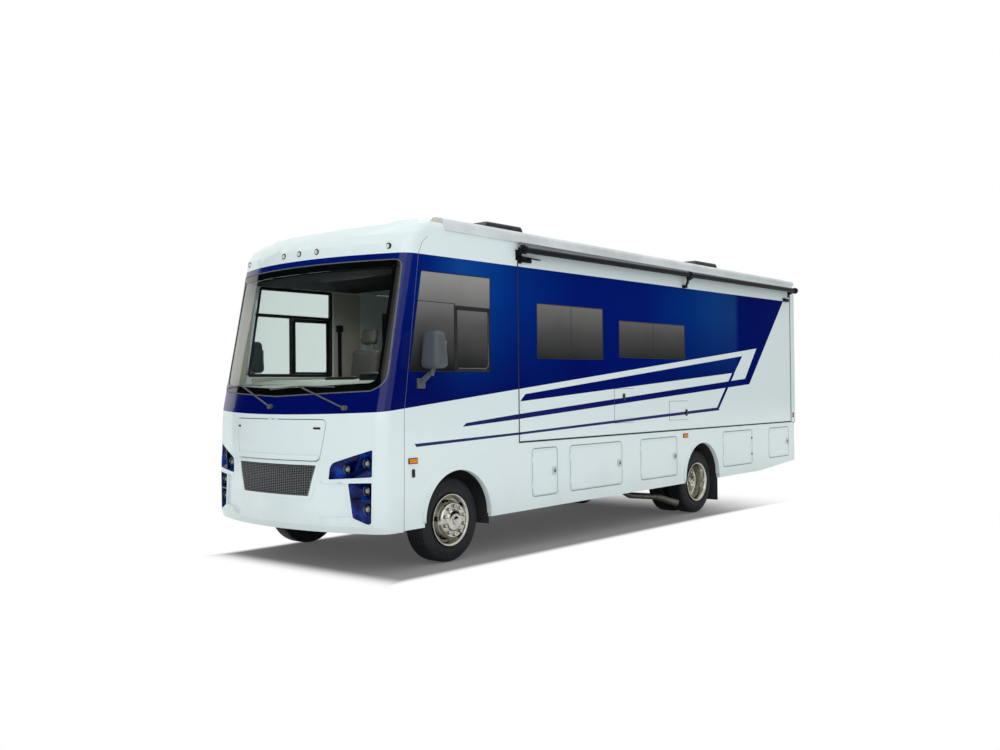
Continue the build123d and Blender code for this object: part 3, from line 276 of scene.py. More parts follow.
def wheelRing(name, profile, x, z, side, steps=96):
    # profile holds (y, radius) pairs for the left side; the right side mirrors them
    points = [(x, side * y, z + radius) for y, radius in profile]
    return spinProfile(name, points, (x, 0, z), steps)


def copyPiece(piece, name, move=(0, 0, 0)):
    copy = piece.copy()
    copy.data = piece.data.copy()
    copy.name = name
    bpy.context.scene.collection.objects.link(copy)
    copy.location = move
    return settle(copy)


def mirrorPiece(piece, name):
    # the same piece on the vehicle's other side
    copy = copyPiece(piece, name)
    copy.scale = (1, -1, 1)
    settle(copy)
    with editing(copy, whole=True):
        bpy.ops.mesh.normals_make_consistent(inside=False)
    return copy


def joinPieces(pieces, name):
    activate(pieces[0])
    for piece in pieces[1:]:
        piece.select_set(True)
    if len(pieces) > 1:
        bpy.ops.object.join()
    whole = bpy.context.object
    whole.name = name
    return whole


def solidCopy(node, name):
    # a CAD node's mesh is loose triangles, so a copy of it is merged first
    copy = nodes[node].copy()
    copy.data = nodes[node].data.copy()
    copy.parent = None
    copy.name = name
    for tag in list(copy.keys()):
        del copy[tag]
    bpy.context.scene.collection.objects.link(copy)
    with editing(copy, "VERT", whole=True):
        bpy.ops.mesh.remove_doubles(threshold=0.00005)
    return copy


def finishPiece(piece, material, body="coach", slot=None, smooth=35.0, replaces=()):
    # a material of None keeps the ones that the piece's parts came with
    activate(piece)
    if material:
        piece.data.materials.clear()
        piece.data.materials.append(material)
    if smooth:
        bpy.ops.object.shade_smooth_by_angle(angle=math.radians(smooth))
    if body:
        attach(piece, body)
    if replaces:
        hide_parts(*replaces)


def finishAll(pieces, name, *looks, **more):
    finishPiece(joinPieces(pieces, name), *looks, **more)


# the finishes, from the node up
def linear(code):
    # sRGB hex to linear
    parts = [int(code[i:i + 2], 16) / 255 for i in (0, 2, 4)]
    return tuple(p / 12.92 if p <= 0.04045 else ((p + 0.055) / 1.055) ** 2.4 for p in parts) + (1.0,)


def addNode(tree, kind, inputs=None, **settings):
    # a node with its settings; an input is a value, another node or one of its outputs
    node = tree.nodes.new("ShaderNode" + kind)
    for name, value in settings.items():
        setattr(node, name, value)
    for socket, value in (inputs or {}).items():
        if isinstance(value, bpy.types.Node):
            value = value.outputs[0]
        if isinstance(value, bpy.types.NodeSocket):
            tree.links.new(value, node.inputs[socket])
        else:
            node.inputs[socket].default_value = value
    return node


def startMaterial(name, sockets):
    # a Principled material and the object's own coordinates
    material = bpy.data.materials.new(name)
    material.use_nodes = True
    tree = material.node_tree
    shader = tree.nodes["Principled BSDF"]
    for socket, value in sockets.items():
        shader.inputs[socket].default_value = linear(value) if isinstance(value, str) else value
    place = addNode(tree, "TexCoord").outputs["Object"]
    return material, tree, shader, place


def mottle(tree, place, size, detail=3.0, stretch=(1, 1, 1)):
    # noise whose features are size metres across, stretched along an axis where asked
    spot = addNode(tree, "Mapping", {"Vector": place, "Scale": stretch})
    return addNode(tree, "TexNoise", {"Vector": spot, "Scale": 1 / size, "Detail": detail}).outputs["Fac"]


def tones(tree, factor, stops):
    # a colour ramp from (position, hex) pairs
    ramp = addNode(tree, "ValToRGB", {"Fac": factor})
    elements = ramp.color_ramp.elements
    while len(elements) < len(stops):
        elements.new(0.5)
    for element, (position, code) in zip(elements, stops):
        element.position = position
        element.color = linear(code)
    return ramp.outputs["Color"]


def rough(tree, shader, factor, low, high):
    span = addNode(tree, "MapRange", {"Value": factor, "To Min": low, "To Max": high}).outputs["Result"]
    tree.links.new(span, shader.inputs["Roughness"])


def relief(tree, shader, height, depth, strength=0.3):
    bump = addNode(tree, "Bump", {"Height": height, "Distance": depth, "Strength": strength})
    tree.links.new(bump.outputs["Normal"], shader.inputs["Normal"])


def plainFinish(name, colours, size, roughness, depth=0.0, spread=0.2, stretch=(1, 1, 1), metallic=0.0,
                specular=0.5, coat=0.0, sheen=0.0):
    # mottled tones with features of a size in metres, gloss between two roughnesses and a fine relief
    material, tree, shader, place = startMaterial(name, {
        "Metallic": metallic, "Specular IOR Level": specular, "Coat Weight": coat, "Sheen Weight": sheen})
    noise = mottle(tree, place, size, stretch=stretch)
    last = len(colours) - 1
    stops = [(0.5 + spread * (2 * count / last - 1), code) for count, code in enumerate(colours)]
    tree.links.new(tones(tree, noise, stops), shader.inputs["Base Color"])
    rough(tree, shader, noise, *roughness)
    if depth:
        relief(tree, shader, noise, depth)
    return material


paintJob = {
    "white": "e1eeef",
    "whiteLow": "d5e2e3",  # road film towards the lower edge
    # the pearl blue along the side, as (x, colour), its lighter bands painted reflections, and low down a
    # darker blue without them
    "paintedReflectionBlues": [(-4.4, "001260"), (-2.56, "001264"), (-2.46, "143a7a"), (-2.0, "0c3c84"), (-1.2, "00307e"),
                  (0.0, "001a72"), (1.2, "001870"), (1.9, "002478"), (2.35, "012c80"), (2.8, "023a8a"),
                  (3.3, "0c4290"), (3.7, "012074"), (4.1, "001262"), (4.7, "001e74")],
    "blueBelowPaintedReflections": ["000c5c", "001268"],
    "seamLean": 0.1366, "seamFoot": 4.3117,  # how far the cap's seam leans back, and its x at the ground
    "edgeDepth": 0.004,  # how near the outer face a point must be to carry the blue
    # convex patches of blue, as (metres ahead of the front axle, height) corners, clockwise or not
    "patches": [
        [(2.0, 3.03), (2.0, 1.421), (-6.85, 2.297), (-7.518, 3.03)],
        [(-6.585, 2.271), (-6.85, 2.297), (-6.342, 1.742), (-6.208, 1.823)],
        [(-1.107, 1.663), (-1.012, 1.584), (-5.885, 1.909), (-6.131, 2.152)],
        [(-5.811, 1.906), (-5.356, 1.423), (-5.407, 1.397), (-5.893, 1.906)],
        [(-0.154, 1.383), (-0.103, 1.347), (-0.993, 1.397), (-0.993, 1.451)],
        [(-0.993, 1.451), (-0.993, 1.397), (-6.342, 1.742), (-6.208, 1.823)],
        [(0.581, 1.209), (0.554, 1.179), (-0.989, 1.229), (-0.989, 1.255)],
        [(-0.989, 1.255), (-0.989, 1.229), (-5.441, 1.383), (-5.356, 1.423)],
    ],
}


def patchMask(tree, place, corners):
    # 1 inside a convex patch seen from the side: the least distance to its edges is positive
    cx = sum(x for x, z in corners) / len(corners)
    cz = sum(z for x, z in corners) / len(corners)
    inside = None
    for (x0, z0), (x1, z1) in zip(corners, corners[1:] + corners[:1]):
        normal = Vector((z0 - z1, 0, x1 - x0)).normalized()
        start = Vector((ahead(x0), 0, z0))
        if (Vector((ahead(cx), 0, cz)) - start).dot(normal) < 0:
            normal = -normal
        reach = addNode(tree, "VectorMath", {0: place, 1: normal}, operation="DOT_PRODUCT").outputs["Value"]
        reach = addNode(tree, "Math", {0: reach, 1: start.dot(normal)}, operation="SUBTRACT")
        if inside is None:
            inside = reach
        else:
            inside = addNode(tree, "Math", {0: inside, 1: reach}, operation="MINIMUM")
    return addNode(tree, "Math", {0: inside, 1: 0.0}, operation="GREATER_THAN")


def blended(tree, share, first, second):
    # the mix node has an A and a B for each data type, so the colours are linked by identifier
    mixed = addNode(tree, "Mix", {"Factor": share}, data_type="RGBA")
    for socket in list(mixed.inputs):
        if socket.identifier == "A_Color":
            tree.links.new(first, socket)
        if socket.identifier == "B_Color":
            tree.links.new(second, socket)
    return [out for out in mixed.outputs if out.identifier == "Result_Color"][0]


def paintedPanels():
    # two-pack paint over moulded and laminated glass fibre: a deep even gloss with a faint orange peel
    sockets = {"Specular IOR Level": 0.3, "Roughness": 0.12}
    material, tree, shader, place = startMaterial("glossTwoPackPaint", sockets)
    blue = None
    for corners in paintJob["patches"]:
        mask = patchMask(tree, place, corners)
        if blue is None:
            blue = mask
        else:
            blue = addNode(tree, "Math", {0: blue, 1: mask}, operation="MAXIMUM")
    spot = addNode(tree, "SeparateXYZ", {0: place})
    aside = addNode(tree, "Math", {0: spot.outputs["Y"]}, operation="ABSOLUTE")
    edge = coach["half"] - paintJob["edgeDepth"]
    outer = addNode(tree, "Math", {0: aside, 1: edge}, operation="GREATER_THAN")
    # the nose cap starts at a seam that leans back as it rises
    lean = addNode(tree, "Math", {0: spot.outputs["Z"], 1: paintJob["seamLean"], 2: spot.outputs["X"]},
                   operation="MULTIPLY_ADD")
    nose = addNode(tree, "Math", {0: lean, 1: paintJob["seamFoot"]}, operation="GREATER_THAN")
    skin = addNode(tree, "Math", {0: outer, 1: nose}, operation="MAXIMUM")
    blue = addNode(tree, "Math", {0: blue, 1: skin}, operation="MULTIPLY")
    film = addNode(tree, "MapRange", {"Value": spot.outputs["Z"], "From Min": 0.4, "From Max": 1.3})
    patchy = mottle(tree, place, 0.6)
    film = addNode(tree, "Math", {0: film, 1: patchy}, operation="ADD")
    white = tones(tree, film, [(0.35, paintJob["whiteLow"]), (0.9, paintJob["white"])])
    # painted reflections: the blue takes its lighter bands along the side from 1.6 m up, fully from 2.7 m;
    # below that a darker blue
    ripple = mottle(tree, place, 0.9, 1.0, (1, 1, 0.25))
    along = addNode(tree, "Math", {0: ripple, 1: 0.5, 2: spot.outputs["X"]}, operation="MULTIPLY_ADD")
    rear, front = paintJob["paintedReflectionBlues"][0][0], paintJob["paintedReflectionBlues"][-1][0]
    along = addNode(tree, "MapRange", {"Value": along, "From Min": rear + 0.25, "From Max": front + 0.25})
    depth = tones(tree, along, [((x - rear) / (front - rear), code) for x, code in paintJob["paintedReflectionBlues"]])
    high = addNode(tree, "MapRange", {"Value": spot.outputs["Z"], "From Min": 1.6, "From Max": 2.7})
    depth = blended(tree, high, tones(tree, ripple, list(zip((0.4, 0.7), paintJob["blueBelowPaintedReflections"]))), depth)
    colour = blended(tree, blue, white, depth)
    tree.links.new(colour, shader.inputs["Base Color"])
    # the peel of sprayed paint is about 3 mm across; it is drawn at 30 mm so that it shows
    relief(tree, shader, mottle(tree, place, 0.03), 0.0006, 0.12)
    return material


def glassWithPaintedSkyReflection(name, shades, zLow, zHigh):
    # privacy glass: nearly black in the sheet, and paler towards the top, a painted reflection of the sky's
    # haze;
    # the passenger's window, ahead of the entry door, is lightly tinted and lets the light through
    clearAhead, clearShare = ahead(-0.8), 0.97
    material, tree, shader, place = startMaterial(name, {"Roughness": 0.05, "Specular IOR Level": 0.35})
    spot = addNode(tree, "SeparateXYZ", {0: place})
    # painted reflection: the colour pales upwards between zLow and zHigh
    fade = addNode(tree, "MapRange", {"Value": spot.outputs["Z"], "From Min": zLow, "From Max": zHigh})
    wave = mottle(tree, place, 0.5, 1.0)
    fade = addNode(tree, "Math", {0: wave, 1: 0.12, 2: fade}, operation="MULTIPLY_ADD")
    tree.links.new(tones(tree, fade, list(zip((0.06, 0.53, 1.06), shades))), shader.inputs["Base Color"])
    relief(tree, shader, wave, 0.002, 0.05)
    through = addNode(tree, "BsdfTransparent", {"Color": linear("f8fbfa")})
    forward = addNode(tree, "Math", {0: spot.outputs["X"], 1: clearAhead}, operation="GREATER_THAN")
    right = addNode(tree, "Math", {0: spot.outputs["Y"], 1: -1.0}, operation="LESS_THAN")
    clear = addNode(tree, "Math", {0: forward, 1: right}, operation="MULTIPLY")
    clear = addNode(tree, "Math", {0: clear, 1: clearShare}, operation="MULTIPLY")
    mixed = addNode(tree, "MixShader", {0: clear, 1: shader, 2: through})
    tree.links.new(mixed.outputs[0], tree.nodes["Material Output"].inputs["Surface"])
    return material


def clearGlass():
    # laminated windscreen glass: it shows the cab, slightly grey, with a thin bright sheen at a slant
    material, tree, shader, place = startMaterial("laminatedGlass", {})
    tree.nodes.remove(shader)
    through = addNode(tree, "BsdfTransparent", {"Color": linear("eef3f2")})
    sheen = addNode(tree, "BsdfGlossy", {"Color": linear("ffffff"), "Roughness": 0.02})
    smear = mottle(tree, place, 0.25, 2.0, (1, 1, 0.4))
    edge = addNode(tree, "Fresnel", {"IOR": 1.45})
    dust = addNode(tree, "MapRange", {"Value": smear, "From Min": 0.3, "From Max": 0.8, "To Max": 0.03})
    amount = addNode(tree, "Math", {0: edge, 1: dust}, operation="ADD")
    # only the outer face shines: seen from inside the sheet the same edge would turn into a mirror
    inner = addNode(tree, "NewGeometry").outputs["Backfacing"]
    outer = addNode(tree, "Math", {0: 1.0, 1: inner}, operation="SUBTRACT")
    amount = addNode(tree, "Math", {0: amount, 1: outer}, operation="MULTIPLY")
    mixed = addNode(tree, "MixShader", {0: amount, 1: through, 2: sheen})
    tree.links.new(mixed.outputs[0], tree.nodes["Material Output"].inputs["Surface"])
    return material


bodyPaint = paintedPanels()
# a smooth vinyl membrane: matt white, with faint grey run-off
roofSkin = plainFinish("roofMembrane", ("c9d0d1", "dfe5e6"), 0.4, (0.45, 0.6), 0.0008)
# woven linings: dull all over, with a soft nap that breaks up the light
innerLining = plainFinish("fabricLining", ("b9b3a6", "cfc9bc"), 0.01, (0.8, 0.95), 0.0005)
# near black on the bunk's face and the visor: partly a real dark shade band, partly painted shade for the dark
# top of the cab
headlinerAndPaintedShade = plainFinish("headlinerAndPaintedShade", ("141519", "1d1f24"), 0.01, (0.8, 0.95), 0.0005, specular=0.2)
# both glasses pale upwards: a painted reflection of the sky
sideGlass = glassWithPaintedSkyReflection("privacyGlass", ("2c2d2d", "4e4f4e", "747372"), 2.04, 2.69)
cabGlass = glassWithPaintedSkyReflection("cabPrivacyGlass", ("1d1e1e", "565756", "929291"), 1.90, 2.90)
# extruded rubber gone grey outdoors: a chalky half gloss
sealGrey = plainFinish("weatheredSeal", ("4a5054", "646b6f"), 0.03, (0.4, 0.6), 0.0004, specular=0.3)
# moulded nylon: a soft even gloss, slightly greyer than the paint round it
latchWhite = plainFinish("latchWhite", ("c4cecf", "d6dfe0"), 0.02, (0.25, 0.4), 0.0003, specular=0.4)
# foam strip in the doors' gaps: pale and dull
paleGasket = plainFinish("paleGasket", ("a3adaf", "b7c0c1"), 0.03, (0.6, 0.8), 0.0004, specular=0.2)
# moulded acrylic with fine prisms: bright, broken highlights
clearLens = plainFinish("clearPrismLens", ("b9c2c6", "dfe6e9"), 0.008, (0.1, 0.2), 0.0006, coat=0.5)
# foam-backed vinyl: matt cream, with slow changes of tone
dashPad = plainFinish("creamDashPad", ("b4bbb0", "cdd3c8"), 0.05, (0.6, 0.8), 0.0006, specular=0.2)
# vacuum-formed ABS: a dark satin
roofShroud = plainFinish("ribbedShroud", ("1f2327", "30353b"), 0.08, (0.35, 0.55), 0.0005, specular=0.35)
# pressed steel under thin paint: grey and slightly uneven
wiperSteel = plainFinish("paintedWiperSteel", ("3c4346", "565e61"), 0.03, (0.3, 0.5), 0.0004, specular=0.4)
screenGlass = clearGlass()
# woven steel wire, painted grey: dull, with darker hollows
grilleWire = plainFinish("paintedWireCloth", ("63676a", "85898b"), 0.01, (0.35, 0.5), metallic=0.3)
# pearl lacquer over injection mouldings: nearly black blue, with lighter clouds that are painted highlights
podBlueWithPaintedHighlights = plainFinish("pearlPodPaintedHighlights", ("01082e", "06185e", "12409c"), 0.11, (0.06, 0.12),
                       specular=0.16, spread=0.18)
# vacuum-plated chrome with a smoked lacquer: sharp, dim reflections
darkChrome = plainFinish("darkChrome", ("3c4146", "6c7378"), 0.02, (0.12, 0.22), metallic=1.0)
# ceramic border fired on the pane's edge: black, with the glass's own gloss
blackGlaze = plainFinish("blackGlazedBorder", ("050606", "0b0c0d"), 0.2, (0.03, 0.08), specular=0.35)
# hard-coated polycarbonate: grey in the mass, with a sharp clear highlight
lampGlass = plainFinish("clearPolycarbonate", ("6a737a", "a3adb3"), 0.02, (0.04, 0.1), specular=0.6, coat=0.5)
# moulded coloured acrylic: a deep tint under a smooth face
amberLens = plainFinish("amberAcrylic", ("d26a06", "f79a1c"), 0.006, (0.15, 0.25), 0.0004, specular=0.2)
redLens = plainFinish("redAcrylic", ("7c0a0c", "a51214"), 0.006, (0.15, 0.25), 0.0004, coat=0.5)
# polypropylene with a spark-eroded grain of about 0.4 mm, drawn at 2 mm so that it shows
blackPlastic = plainFinish("grainedBlackPlastic", ("111214", "1c1e20"), 0.002, (0.4, 0.55), 0.0003,
                           specular=0.35)
# extruded rubber: black and dull
rubberSeal = plainFinish("ribbedRubber", ("17181a", "212325"), 0.003, (0.6, 0.75), 0.0003, specular=0.25)
# injection-moulded ABS: an even satin grey
greyPlastic = plainFinish("mouldedGreyPlastic", ("40474d", "525b62"), 0.003, (0.4, 0.55), 0.0003,
                          specular=0.35)
# near-black sheet behind an opening, painted shade where there is only shade: it gives back almost no light
paintedShadeBlack = plainFinish("paintedShadeBackPanel", ("070808", "111213"), 0.01, (0.8, 0.95), 0.001, specular=0.1)
# moulded trim: pale grey satin
trimPlastic = plainFinish("satinTrim", ("8f9799", "a6adaf"), 0.05, (0.35, 0.5))
# brushed-on chassis black: a dusty half gloss over rolled steel
chassisPaint = plainFinish("chassisBlackPaint", ("1c1c1b", "2e2c29"), 0.06, (0.5, 0.75), 0.001, spread=0.25)
# iron cast in sand: coarse, brown-grey and barely shiny
castIron = plainFinish("sandCastIron", ("2c2a27", "45423c"), 0.012, (0.6, 0.8), 0.001,
                       metallic=0.4, spread=0.25)
# die-cast alloy under road dust: a flat mid grey
engineAlloy = plainFinish("dustyCastAlloy", ("3b3c3b", "5a5b59"), 0.02, (0.5, 0.7), 0.001,
                          metallic=0.5, spread=0.25)
# hot-dipped steel tube: a dull silver with brown stains
exhaustSteel = plainFinish("aluminisedSteel", ("54534e", "77756d"), 0.03, (0.35, 0.6), 0.0006,
                           metallic=0.8, spread=0.25)
# vulcanised rubber with dust in its grain: blue-black, greyer in patches
tyreRubber = plainFinish("dustyTyreRubber", ("14171a", "22262a"), 0.05, (0.5, 0.7), 0.0008,
                         specular=0.25, spread=0.25)
# pressed and polished steel: bright, slightly warm reflections
rimSteel = plainFinish("polishedStainless", ("a5a49a", "c6c5bc"), 0.08, (0.1, 0.22), metallic=1.0)
# steel tread with grit rolled into its paint: sparkling and rough
stepSteel = plainFinish("gritPaintedSteel", ("1b1c1d", "3a3b3c"), 0.003, (0.6, 0.9), 0.0008)
# rotationally moulded polyethylene: waxy dark grey
binPlastic = plainFinish("rotomouldedBin", ("37393b", "484b4d"), 0.02, (0.5, 0.7), 0.0006)
# moulded sheet rubber under road dust: black gone brown-grey
flapRubber = plainFinish("dustyFlapRubber", ("1c1e20", "2e3032"), 0.03, (0.65, 0.85), 0.0008, spread=0.25)
# woven acrylic with threads of about 0.5 mm, drawn at 4 mm so that they show
awningCloth = plainFinish("wovenAcrylicCloth", ("33393f", "454c53"), 0.004, (0.75, 0.95), 0.0006,
                          sheen=0.2, spread=0.15)
# anodised extrusion: a deep black satin
awningMetal = plainFinish("anodisedBlack", ("0c0e10", "181b1e"), 0.05, (0.35, 0.5), specular=0.08)
# varnished plywood: brown, with grain along the coach
floorPly = plainFinish("varnishedPly", ("70604b", "8d7a60"), 0.02, (0.4, 0.6), stretch=(0.1, 1, 1))
# calendered vinyl: a pale grey-green with a fine leather grain
dashVinyl = plainFinish("paleDashVinyl", ("8f9e99", "a6b3ae"), 0.004, (0.5, 0.7), 0.0003, specular=0.3)
seatVinyl = plainFinish("seatVinyl", ("4d4a47", "5f5b57"), 0.004, (0.45, 0.65), 0.0004, specular=0.35)
# printed foil on board: upright grain under an even satin
cupboardFoil = plainFinish("woodGrainFoil", ("7d7468", "978d80"), 0.05, (0.35, 0.5), stretch=(1, 1, 0.08))
# brushed tube: silver, its highlights drawn out along the brush marks
ladderAlloy = plainFinish("brushedAluminium", ("a9adb0", "c5c8ca"), 0.02, (0.25, 0.4), metallic=1.0,
                          stretch=(1, 1, 0.05))

# which finish each CAD node carries
nodeFinish = {}
for finish, names in (
    (bodyPaint, "front_cap left_wall right_wall rear_wall slideout_room skirts front_hatch "
                "entry_door"),
    (roofSkin, "roof"),
    (roofShroud, "roof_units"),
    (screenGlass, "windscreen"),
    (cabGlass, "side_windows"),
    (sideGlass, "slideout_windows entry_door_window"),
    (grilleWire, "grille"),
    (podBlueWithPaintedHighlights, "headlamp_pods"),
    (lampGlass, "headlamps"),
    (amberLens, "marker_lamps"),
    (redLens, "tail_lamps"),
    (greyPlastic, "mirrors"),
    (wiperSteel, "wipers"),
    (chassisPaint, "chassis_frame cross_members leaf_springs"),
    (castIron, "axles knuckle_left knuckle_right"),
    (engineAlloy, "engine"),
    (exhaustSteel, "exhaust"),
    (stepSteel, "entry_steps"),
    (binPlastic, "storage_bins tanks"),
    (flapRubber, "mud_flaps"),
    (awningCloth, "topper_fabric"),
    (awningMetal, "topper_roller patio_awning"),
    (floorPly, "floor"),
    (dashVinyl, "dashboard"),
    (blackPlastic, "steering_wheel seat_bases"),
    (seatVinyl, "cab_seats"),
    (cupboardFoil, "cabinets"),
    (headlinerAndPaintedShade, "overhead_bunk"),
    (ladderAlloy, "rear_ladder"),
):
    for name in names.split():
        nodeFinish[name] = finish
for side in ("left", "right"):
    nodeFinish["front_tyre_" + side] = nodeFinish["rear_tyres_" + side] = tyreRubber
    nodeFinish["front_rim_" + side] = nodeFinish["rear_rims_" + side] = rimSteel
for name, node in nodes.items():
    if name.startswith("locker_door"):
        nodeFinish[name] = bodyPaint
    node.data.materials.clear()
    node.data.materials.append(nodeFinish[name])
print("stage: materials on", len(nodeFinish), "nodes")


# stage, light and camera
studio = {
    "position": (10.834, 8.179, 1.748), "clipEnd": 400,
    "yaw": 40.2992, "pitch": 0.6393, "roll": -0.5872,  # degrees
    "lens": 36.73,  # mm on a 36 mm sensor
    "floorSize": 160.0, "floorZ": -0.001,
    # the floor carries a painted grey shadow under the coach and turns white round it: (from, to) along each
    # side, in metres
    "shadeFront": (4.30, 4.75), "shadeRear": (-4.1, -1.3), "shadeSide": (1.24, 1.42), "shadeMiddle": 0.22,
    "paintedShadowGrey": "8c8c8c", "paintedShadowGlow": 0.07,
    "ambient": 0.76,
    "key": 480.0, "fill": 300.0, "top": 270.0, "cab": 16.0,  # watts
    # dark boards beside the coach, which only glossy faces see: (middle, width, height, turn in degrees)
    "boards": [((-38, 25, 7), 66, 14, 0), ((24, -23, 12), 46, 24, 40), ((36, 2, 12), 24, 24, 82)],
}


def placeCamera():
    yaw, pitch, roll = (math.radians(studio[name]) for name in ("yaw", "pitch", "roll"))
    look = Vector((-math.cos(yaw) * math.cos(pitch), -math.sin(yaw) * math.cos(pitch), math.sin(pitch)))
    right = look.cross(Vector((0, 0, 1))).normalized()
    up = right.cross(look)
    camX = right * math.cos(roll) + up * math.sin(roll)
    camY = up * math.cos(roll) - right * math.sin(roll)
    turn = Matrix((camX, camY, -look)).transposed()
    bpy.ops.object.camera_add(location=studio["position"], rotation=turn.to_euler())
    camera = bpy.context.object
    camera.data.lens = studio["lens"]
    camera.data.clip_end = studio["clipEnd"]
    bpy.context.scene.camera = camera


def addLight(name, place, target, size, watts):
    bpy.ops.object.light_add(type="AREA", location=place)
    light = bpy.context.object
    light.name = name
    light.data.size = size
    light.data.energy = watts
    light.rotation_euler = (Vector(target) - Vector(place)).to_track_quat("-Z", "Y").to_euler()


def seenDirectly(tree):
    # 1 for rays from the camera, from a mirror or through glass
    path = addNode(tree, "LightPath")
    direct = addNode(tree, "Math", {0: path.outputs["Is Camera Ray"], 1: path.outputs["Is Glossy Ray"]},
                     operation="MAXIMUM")
    return addNode(tree, "Math", {0: direct, 1: path.outputs["Is Transmission Ray"]}, operation="MAXIMUM")


def buildWorld():
    # pure white where it is seen, dimmer where it lights the coach
    world = bpy.data.worlds.new("studioAir")
    bpy.context.scene.world = world
    world.use_nodes = True
    tree = world.node_tree
    tree.nodes.clear()
    soft = addNode(tree, "Background", {"Color": linear("ffffff"), "Strength": studio["ambient"]})
    white = addNode(tree, "Background", {"Color": linear("ffffff"), "Strength": 1.0})
    mixed = addNode(tree, "MixShader", {0: seenDirectly(tree), 1: soft, 2: white})
    addNode(tree, "OutputWorld", {"Surface": mixed})


def floorPaint():
    # rolled matt emulsion: an even white, with a painted grey shadow under the coach
    sockets = {"Roughness": 0.9, "Specular IOR Level": 0.0}
    material, tree, shader, place = startMaterial("whiteStudioFloor", sockets)
    grain = mottle(tree, place, 0.4)
    tree.links.new(tones(tree, grain, [(0.3, "f4f4f4"), (0.7, "f7f7f7")]), shader.inputs["Base Color"])
    spot = addNode(tree, "SeparateXYZ", {0: place})
    aside = addNode(tree, "Math", {0: spot.outputs["Y"], 1: studio["shadeMiddle"]}, operation="SUBTRACT")
    aside = addNode(tree, "Math", {0: aside}, operation="ABSOLUTE")
    clear = None
    along = spot.outputs["X"]
    edges = [(along, studio["shadeFront"]), (along, studio["shadeRear"][::-1]), (aside, studio["shadeSide"])]
    for value, limits in edges:
        part = addNode(tree, "MapRange", {"Value": value, "From Min": limits[0], "From Max": limits[1]},
                       interpolation_type="SMOOTHSTEP")
        clear = part if clear is None else addNode(tree, "Math", {0: clear, 1: part}, operation="MAXIMUM")
    # painted shadow: grey under the coach, lifted by a faint painted glow for rays from the camera, a mirror or
    # glass
    under = addNode(tree, "BsdfDiffuse", {"Color": linear(studio["paintedShadowGrey"])})
    seen = seenDirectly(tree)
    lift = addNode(tree, "Math", {0: seen, 1: studio["paintedShadowGlow"]}, operation="MULTIPLY")
    lift = addNode(tree, "Emission", {"Color": linear("ffffff"), "Strength": lift})
    lifted = addNode(tree, "AddShader", {0: under, 1: lift})
    shaded = addNode(tree, "MixShader", {0: clear, 1: lifted, 2: shader})
    fade = addNode(tree, "Math", {0: clear, 1: seen}, operation="MULTIPLY")
    glow = addNode(tree, "Emission", {"Color": linear("ffffff"), "Strength": 1.0})
    mixed = addNode(tree, "MixShader", {0: fade, 1: shaded, 2: glow})
    hidden = addNode(tree, "BsdfTransparent")
    below = addNode(tree, "NewGeometry").outputs["Backfacing"]
    whole = addNode(tree, "MixShader", {0: below, 1: mixed, 2: hidden})
    tree.links.new(whole.outputs[0], tree.nodes["Material Output"].inputs["Surface"])
    return material


def buildFloor():
    bpy.ops.mesh.primitive_grid_add(x_subdivisions=8, y_subdivisions=8, size=studio["floorSize"],
                                    location=(0, 0, studio["floorZ"]))
    floor = settle(bpy.context.object)
    floor.name = "studioFloor"
    floor.data.materials.append(floorPaint())


def buildBoards():
    boards = []
    for middle, width, height, turn in studio["boards"]:
        upright = (math.pi / 2, 0, math.radians(turn))
        bpy.ops.mesh.primitive_plane_add(size=1, location=middle, rotation=upright)
        bpy.context.object.scale = (width, height, 1)
        boards.append(settle(bpy.context.object))
    board = joinPieces(boards, "studioBoards")
    # brushed cotton on frames: it takes up all light
    flannel = plainFinish("blackFlannel", ("050608", "0a0b0e"), 0.5, (0.9, 1.0), specular=0.0)
    board.data.materials.append(flannel)
    board.visible_camera = board.visible_diffuse = board.visible_shadow = board.visible_transmission = False


def buildLights():
    addLight("keyLight", (13, 10, 9), (0, 0, 1.5), 14, studio["key"])
    addLight("fillLight", (-10, -12, 8), (0, 0, 1.5), 12, studio["fill"])
    addLight("topLight", (0, 0, 12), (0, 0, 0), 12, studio["top"])
    addLight("cabLamp", (ahead(0.1), 0, 2.84), (ahead(0.35), 0, 1.7), 0.8, studio["cab"])


bpy.context.scene.view_settings.view_transform = "Standard"
placeCamera()
buildWorld()
buildFloor()
buildBoards()
buildLights()
print("stage: camera, floor and lights")


# the nose: skin, windscreen surround, grille and lamps
def layOnNose(piece, lift=0.0):
    # a piece drawn flat at x = 0 is laid on the nose's skin
    for vertex in piece.data.vertices:
        vertex.co.x += noseSurface(vertex.co.y, vertex.co.z) + lift
    piece.data.update()
    return piece


def sliceAcross(piece, step, low=-1.26, high=1.26):
    with editing(piece):
        y = low
        while y < high:
            bpy.ops.mesh.select_all(action="SELECT")
            bpy.ops.mesh.bisect(plane_co=(0, y, 0), plane_no=(0, 1, 0))
            y += step
    return piece


def nosePanel(name, outline, lift, thickness, roundness=0.0, ringWidth=0.0, step=0.07):
    # a thin panel, or a ring where a width is given, that follows the nose's curve
    piece = outlineFace(name, [(0, y, z) for y, z in outline], roundness, facing=(1, 0, 0))
    cutOut(piece, ringWidth)
    sliceAcross(piece, step)
    layOnNose(piece, lift)
    return useModifier(piece, "SOLIDIFY", thickness=thickness, offset=-1)


